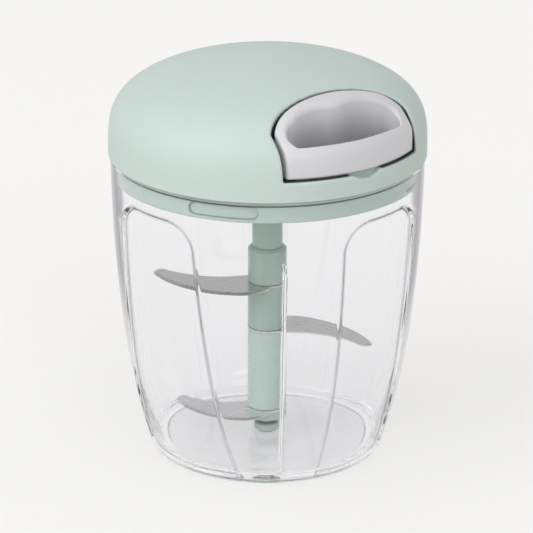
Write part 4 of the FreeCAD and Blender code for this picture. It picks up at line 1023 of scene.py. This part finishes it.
def makeBlade(name, reach, belly, turn, height):
    b = blades
    outline, ground = bladeOutline(reach, belly)
    before, after = np.roll(outline, 1, axis=0), np.roll(outline, -1, axis=0)
    along = (after - before) / np.linalg.norm(after - before, axis=1, keepdims=True)
    area = 0.5 * np.sum(outline[:, 0] * after[:, 1] - after[:, 0] * outline[:, 1])
    inward = np.stack([-along[:, 1], along[:, 0]], axis=1) * np.sign(area)
    half = b["thickness"] / 2
    cut = (b["edge"] + (b["ground"] - b["edge"]) * smoothStep(0, 1, ground))[:, None]
    lip = half - b["edge"] - (b["thickness"] - b["edge"] - b["lip"]) * smoothStep(0, 1, ground)
    low = np.full(len(outline), -half)
    rings = [(outline + inward * b["edge"], low), (outline, low + b["edge"]),
             (outline, np.maximum(lip, low + b["edge"] + 0.02)),
             (outline + inward * cut, low + b["thickness"])]
    work = bmesh.new()
    loops = [[work.verts.new((*corner, z)) for corner, z in zip(plan, level)] for plan, level in rings]
    holes = [[work.verts.new((*corner, z)) for corner in hexagon(b["flats"], -turn)] for z in (-half, half)]
    for lower, upper in [*zip(loops, loops[1:]), holes[::-1]]:
        for k in range(len(lower)):
            j = (k + 1) % len(lower)
            work.faces.new((lower[k], lower[j], upper[j], upper[k]))
    for rim, bore in ((loops[0], holes[0]), (loops[-1], holes[1])):
        edges = []
        for ring in (rim, bore):
            edges += [work.edges.get((ring[k], ring[(k + 1) % len(ring)])) for k in range(len(ring))]
        bmesh.ops.triangle_fill(work, use_beauty=True, use_dissolve=False, edges=edges)
    bmesh.ops.recalc_face_normals(work, faces=work.faces)
    raised = Matrix.Translation((0, 0, height)) @ Matrix.Rotation(math.radians(turn), 4, "Z")
    work.transform(Matrix.Scale(mm, 4) @ raised)
    mesh = bpy.data.meshes.new(name)
    work.to_mesh(mesh)
    work.free()
    mesh.shade_smooth()
    mesh.set_sharp_from_angle(angle=math.radians(b["sharp"]))
    return linkObject(name, mesh)


for level in ("upper", "middle", "lower"):
    made = blades[level]
    blade = makeBlade(level + "Blade", made["reach"], made["belly"], made["turn"], made["height"])
    # cold-rolled stainless strip, brushed along the blade before it is stamped
    # the blade's steel colours carry the painted light of its level
    brushed = metalSurface("brushedStainless" + level.capitalize(), *made["steel"], 0.27, (0.03, 1, 1),
                           turn=-math.radians(made["turn"]), lines=0.5, strength=0.04)
    finish(blade, "blade_set", "blade_steel", brushed, level + "_blade")
print("blades ready")


# Blade shaft: the neck with its hexagonal tip and four sleeves

shaft = {
    "sleeveRadius": 8.0, "bore": 4.9, "round": 0.5, "chamfer": 1.1, "chamferRound": 0.4,
    "sleeves": {"upper": (71.62, 86.98), "middle": (51.62, 70.58), "lower": (15.82, 50.58),
                "foot": (10.5, 14.78)},
    "neckRadius": 6.3, "neckBottom": 87.0, "neckTop": 108.0, "tipTop": 121.2, "tipFlats": 8.0,
    "neckBore": 4.7, "neckRoof": 96.3, "tipChamfer": 0.7,
    "coreTop": 96.2, "footRadius": 5.3, "footTop": 7.4, "waist": 4.3, "collarRadius": 4.0, "collarTop": 14.6,
}


def makeSleeve(name, low, high, chamfer):
    s, r = shaft, shaft["sleeveRadius"]
    top = [(r, high - chamfer), (r - chamfer, high)] if chamfer else [(r, high)]
    rounds = [s["chamferRound"]] * 2 if chamfer else [s["round"]]
    corners = [(s["bore"], low), (r, low), *top, (s["bore"], high)]
    return lathe(name, softProfile(corners, [0, s["round"], *rounds, 0]), 96, 40)


for place, (low, high) in shaft["sleeves"].items():
    sleeve = makeSleeve(place + "Sleeve", low, high, shaft["chamfer"] if place == "upper" else 0)
    # painted light: the lower sleeves take the lit copy of the acetal, the others the shaded copy
    plastic = litShaftAcetal if place in ("lower", "foot") else shadedShaftAcetal
    finish(sleeve, "blade_set", "shaft_green", plastic, place + "_sleeve")


def hexRod(name, levels):
    # a closed hexagonal rod through the given widths across flats and heights
    points = [(*corner, height) for flats, height in levels for corner in hexagon(flats)]
    last = 6 * len(levels)
    ends = [tuple(range(5, -1, -1)), tuple(range(last - 6, last))]
    return meshObject(name, points, ringFaces(len(levels), 6) + ends, 30)


def makeCore():
    # the hexagonal rod inside the sleeves, with a waist under the last one and a round foot
    s = shaft
    low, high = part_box("foot_bush")
    bore, bottom = (high[0] - low[0]) / mm / 2, low[2] / mm
    waistTop = s["sleeves"]["foot"][0] + 0.5
    corners = [(bore, bottom), (s["footRadius"], bottom), (s["footRadius"], s["footTop"]),
               (s["waist"], s["footTop"]), (s["waist"], waistTop), (s["collarRadius"], waistTop),
               (s["collarRadius"], s["collarTop"]), (bore, s["collarTop"])]
    foot = lathe("coreFoot", softProfile(corners, [0, 0.6, 0.4, 0.2, 0, 0, 0, 0]), 96, 40)
    rod = hexRod("coreRod", [(s["tipFlats"], s["collarTop"] + 0.05), (s["tipFlats"], s["coreTop"])])
    return joinPieces("shaftCore", foot, rod)


core = finish(makeCore(), "blade_set", "shaft_green", litShaftAcetal, "shaft_core")
# painted shade: the dark acetal on the waist's faces stands in for the shade in the groove under the foot
# sleeve
core.data.materials.append(bushPlastic)  # the waist shows as a dark groove
grooveLow, grooveHigh = shaft["footTop"] + 0.2, shaft["sleeves"]["foot"][0] + 0.4
for face in core.data.polygons:
    inside = grooveLow * mm < face.center.z < grooveHigh * mm and face.center.xy.length < 5 * mm
    face.material_index = int(inside)


def makeNeck():
    s = shaft
    corners = [(0, s["neckRoof"]), (s["neckBore"], s["neckRoof"]), (s["neckBore"], s["neckBottom"]),
               (s["neckRadius"], s["neckBottom"]), (s["neckRadius"], s["neckTop"]), (0, s["neckTop"])]
    rod = lathe("neckRod", softProfile(corners, [0, 0, 0, 0.3, 0.5, 0]), 96, 40)
    narrow = s["tipFlats"] - s["tipChamfer"] * math.sqrt(3)
    tip = hexRod("neckTip", [(s["tipFlats"], s["neckTop"] - 0.5), (s["tipFlats"], s["tipTop"] - 0.8),
                             (narrow, s["tipTop"])])
    return joinPieces("shaftNeck", rod, tip)


finish(makeNeck(), "blade_set", "shaft_green", shadedShaftAcetal, "shaft_neck")
print("blade shaft ready")


# Cord: the run from the reel to the handle, its wound turns and its knot

cord = {
    "drawnRadius": 0.99, "height": 144.0,
    # the run's line as in the CAD: off the drum, round the guide's mouth, out to the handle
    "route": [(-9.92, -16.98), (-3.2, -27.6), (-1.2, -30.9), (0.0, -32.8), (0.0, -35.4), (0.0, -39.0),
              (0.0, -42.3)],
    # three turns pressed together between the reel's flanges
    "turnRadius": 17.0, "turns": 3, "pitch": 1.66,
    "knotRadius": 0.85, "knotSize": 0.47, "knotRise": 0.62, "knotPlace": -42.3,
}


def tubeAlong(name, route, radius, rings):
    curve = bpy.data.curves.new(name, "CURVE")
    curve.dimensions = "3D"
    curve.bevel_depth = radius * mm
    curve.bevel_resolution = 4
    curve.use_fill_caps = True
    line = curve.splines.new("NURBS")
    line.points.add(len(route) - 1)
    for point, (x, y, z) in zip(line.points, route):
        point.co = (x * mm, y * mm, z * mm, 1)
    line.order_u = 3
    line.use_endpoint_u = True
    line.resolution_u = rings
    holder = linkObject(name + "Line", curve)
    mesh = bpy.data.meshes.new_from_object(holder.evaluated_get(bpy.context.evaluated_depsgraph_get()))
    mesh.name = name
    bpy.data.objects.remove(holder)
    mesh.shade_smooth()
    return linkObject(name, mesh)


run = tubeAlong("pullCord", [(x, y, cord["height"]) for x, y in cord["route"]], cord["drawnRadius"], 16)
run.data.materials.append(cordFibre)
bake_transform(run)
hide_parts("pull_cord")


def knotRoute():
    # a trefoil: the overhand knot that stops the cord in the handle
    route = []
    for k in range(37):
        t = 2 * math.pi * k / 36
        x, y = math.sin(t) + 2 * math.sin(2 * t), math.cos(t) - 2 * math.cos(2 * t)
        route.append((x * cord["knotSize"], cord["knotPlace"] + y * cord["knotSize"],
                      cord["height"] - cord["knotRise"] * math.sin(3 * t)))
    return route


knot = tubeAlong("cordKnot", knotRoute(), cord["knotRadius"], 4)
finish(knot, "handle", "cord", cordFibre, "cord_knot")


def windingTree():
    # Geometry Nodes: a helix of turns beside each other, given the cord's round section
    tree, given = newGroup("cordWinding", {"Turn Radius": "Float", "Turns": "Float", "Pitch": "Float",
                                           "Cord Radius": "Float", "Middle Height": "Float",
                                           "Material": "Material"})
    tall = mathNode(tree, "MULTIPLY", given["Turns"], given["Pitch"])
    helix = addNode(tree, "GeometryNodeCurveSpiral", {
        "Resolution": 64, "Rotations": given["Turns"], "Start Radius": given["Turn Radius"],
        "End Radius": given["Turn Radius"], "Height": tall})
    down = mathNode(tree, "MULTIPLY_ADD", tall, -0.5, given["Middle Height"])
    shift = addNode(tree, "ShaderNodeCombineXYZ", {"Z": down})
    raised = addNode(tree, "GeometryNodeTransform", {
        "Geometry": helix.outputs[0], "Translation": shift.outputs[0]})
    section = addNode(tree, "GeometryNodeCurvePrimitiveCircle", {
        "Resolution": 12, "Radius": given["Cord Radius"]})
    wound = addNode(tree, "GeometryNodeCurveToMesh", {
        "Curve": raised.outputs[0], "Profile Curve": section.outputs[0], "Fill Caps": True})
    return closeGroup(tree, given, wound)


def fromTree(name, tree, values):
    # sets the tree's inputs by identifier, turns the result into a plain mesh and drops the modifier
    holder = linkObject(name, bpy.data.meshes.new(name + "Empty"))
    modifier = holder.modifiers.new("made", "NODES")
    modifier.node_group = tree
    for item in tree.interface.items_tree:
        if item.in_out == "INPUT" and item.name in values:
            modifier[item.identifier] = values[item.name]
    view = bpy.context.evaluated_depsgraph_get()
    mesh = bpy.data.meshes.new_from_object(holder.evaluated_get(view), depsgraph=view)
    holder.modifiers.remove(modifier)
    holder.data = mesh
    mesh.name = name
    return holder


winding = fromTree("cordWinding", windingTree(), {
    "Turn Radius": cord["turnRadius"] * mm, "Turns": float(cord["turns"]), "Pitch": cord["pitch"] * mm,
    "Cord Radius": cord["drawnRadius"] * mm, "Middle Height": cord["height"] * mm, "Material": cordFibre})
winding.data.shade_smooth()
finish(winding, "reel", "cord", cordFibre, "cord_winding")
print("cord ready")


# Screws that hold the lid base to the cover

screws = {
    "circle": 46.0, "firstTurn": -30.0, "count": 3, "bottom": 119.3, "headRadius": 3.0, "headHeight": 2.0,
    "shankRadius": 1.5, "length": 13.7, "threadPitch": 0.6, "threadDepth": 0.22,
}


def makeScrew():
    # pan head with a shallow dished recess, threads as fine steps
    s = screws
    low, head, shank, pitch = s["bottom"], s["headRadius"], s["shankRadius"], s["threadPitch"]
    neck, end = low + s["headHeight"], low + s["length"]
    profile = [(0, low + 0.25), (1.2, low + 0.2), (2.2, low), (head - 0.3, low), (head, low + 0.4),
               (head, neck), (shank, neck)]
    z = neck + pitch
    while z < end - 1:
        profile += [(shank - s["threadDepth"], z), (shank, z + pitch / 2)]
        z += pitch
    profile += [(shank - 0.4, end - 0.3), (0, end)]
    return lathe("screwForm", profile, 32, 30)


def screwTree():
    # Geometry Nodes: one screw set on each corner of a three-cornered ring
    tree, given = newGroup("screwRing", {"Circle Radius": "Float", "Count": "Int", "First Turn": "Float",
                                         "Screw": "Object", "Material": "Material"})
    ring = addNode(tree, "GeometryNodeMeshCircle", {
        "Vertices": given["Count"], "Radius": given["Circle Radius"]})
    turned = addNode(tree, "ShaderNodeCombineXYZ", {"Z": given["First Turn"]})
    laid = addNode(tree, "GeometryNodeTransform", {
        "Geometry": ring.outputs[0], "Rotation": turned.outputs[0]})
    screw = addNode(tree, "GeometryNodeObjectInfo", {"Object": given["Screw"]})
    placed = addNode(tree, "GeometryNodeInstanceOnPoints", {
        "Points": laid.outputs[0], "Instance": screw.outputs["Geometry"]})
    return closeGroup(tree, given, placed)


screwForm = makeScrew()
coverScrews = fromTree("coverScrews", screwTree(), {
    "Circle Radius": screws["circle"] * mm, "Count": screws["count"],
    "First Turn": math.radians(screws["firstTurn"]), "Screw": screwForm, "Material": zincSteel})
bpy.data.objects.remove(screwForm)
finish(coverScrews, "lid", "screw_steel", zincSteel, "cover_screws")
print("screws ready")


# Pieces whose CAD form is right as it is get their finish

carried = {
    "pivot_pin": turnedSteel, "axle_washer": turnedSteel, "axle_screw": zincSteel,
    "cord_guide": reelPlastic, "reel": reelPlastic, "reel_cover": reelPlastic,
    "recoil_spring": springSteel, "pawl_spring_a": springSteel, "pawl_spring_b": springSteel,
    "pawl_a": clutchPlastic, "pawl_b": clutchPlastic, "pawl_pins": turnedSteel,
    "drive_coupling": clutchPlastic, "drive_bush": bushPlastic, "foot_bush": turnedBrass,
}
for name, material in carried.items():
    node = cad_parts[name]
    if not node.material_slots:
        node.data.materials.append(material)
    for slot in node.material_slots:
        slot.material = material
print("finishes ready")

bpy.context.scene.view_settings.view_transform = "Standard"
cycles = bpy.context.scene.cycles
cycles.max_bounces = cycles.transmission_bounces = studio["bounces"]
cycles.glossy_bounces = studio["glossyBounces"]
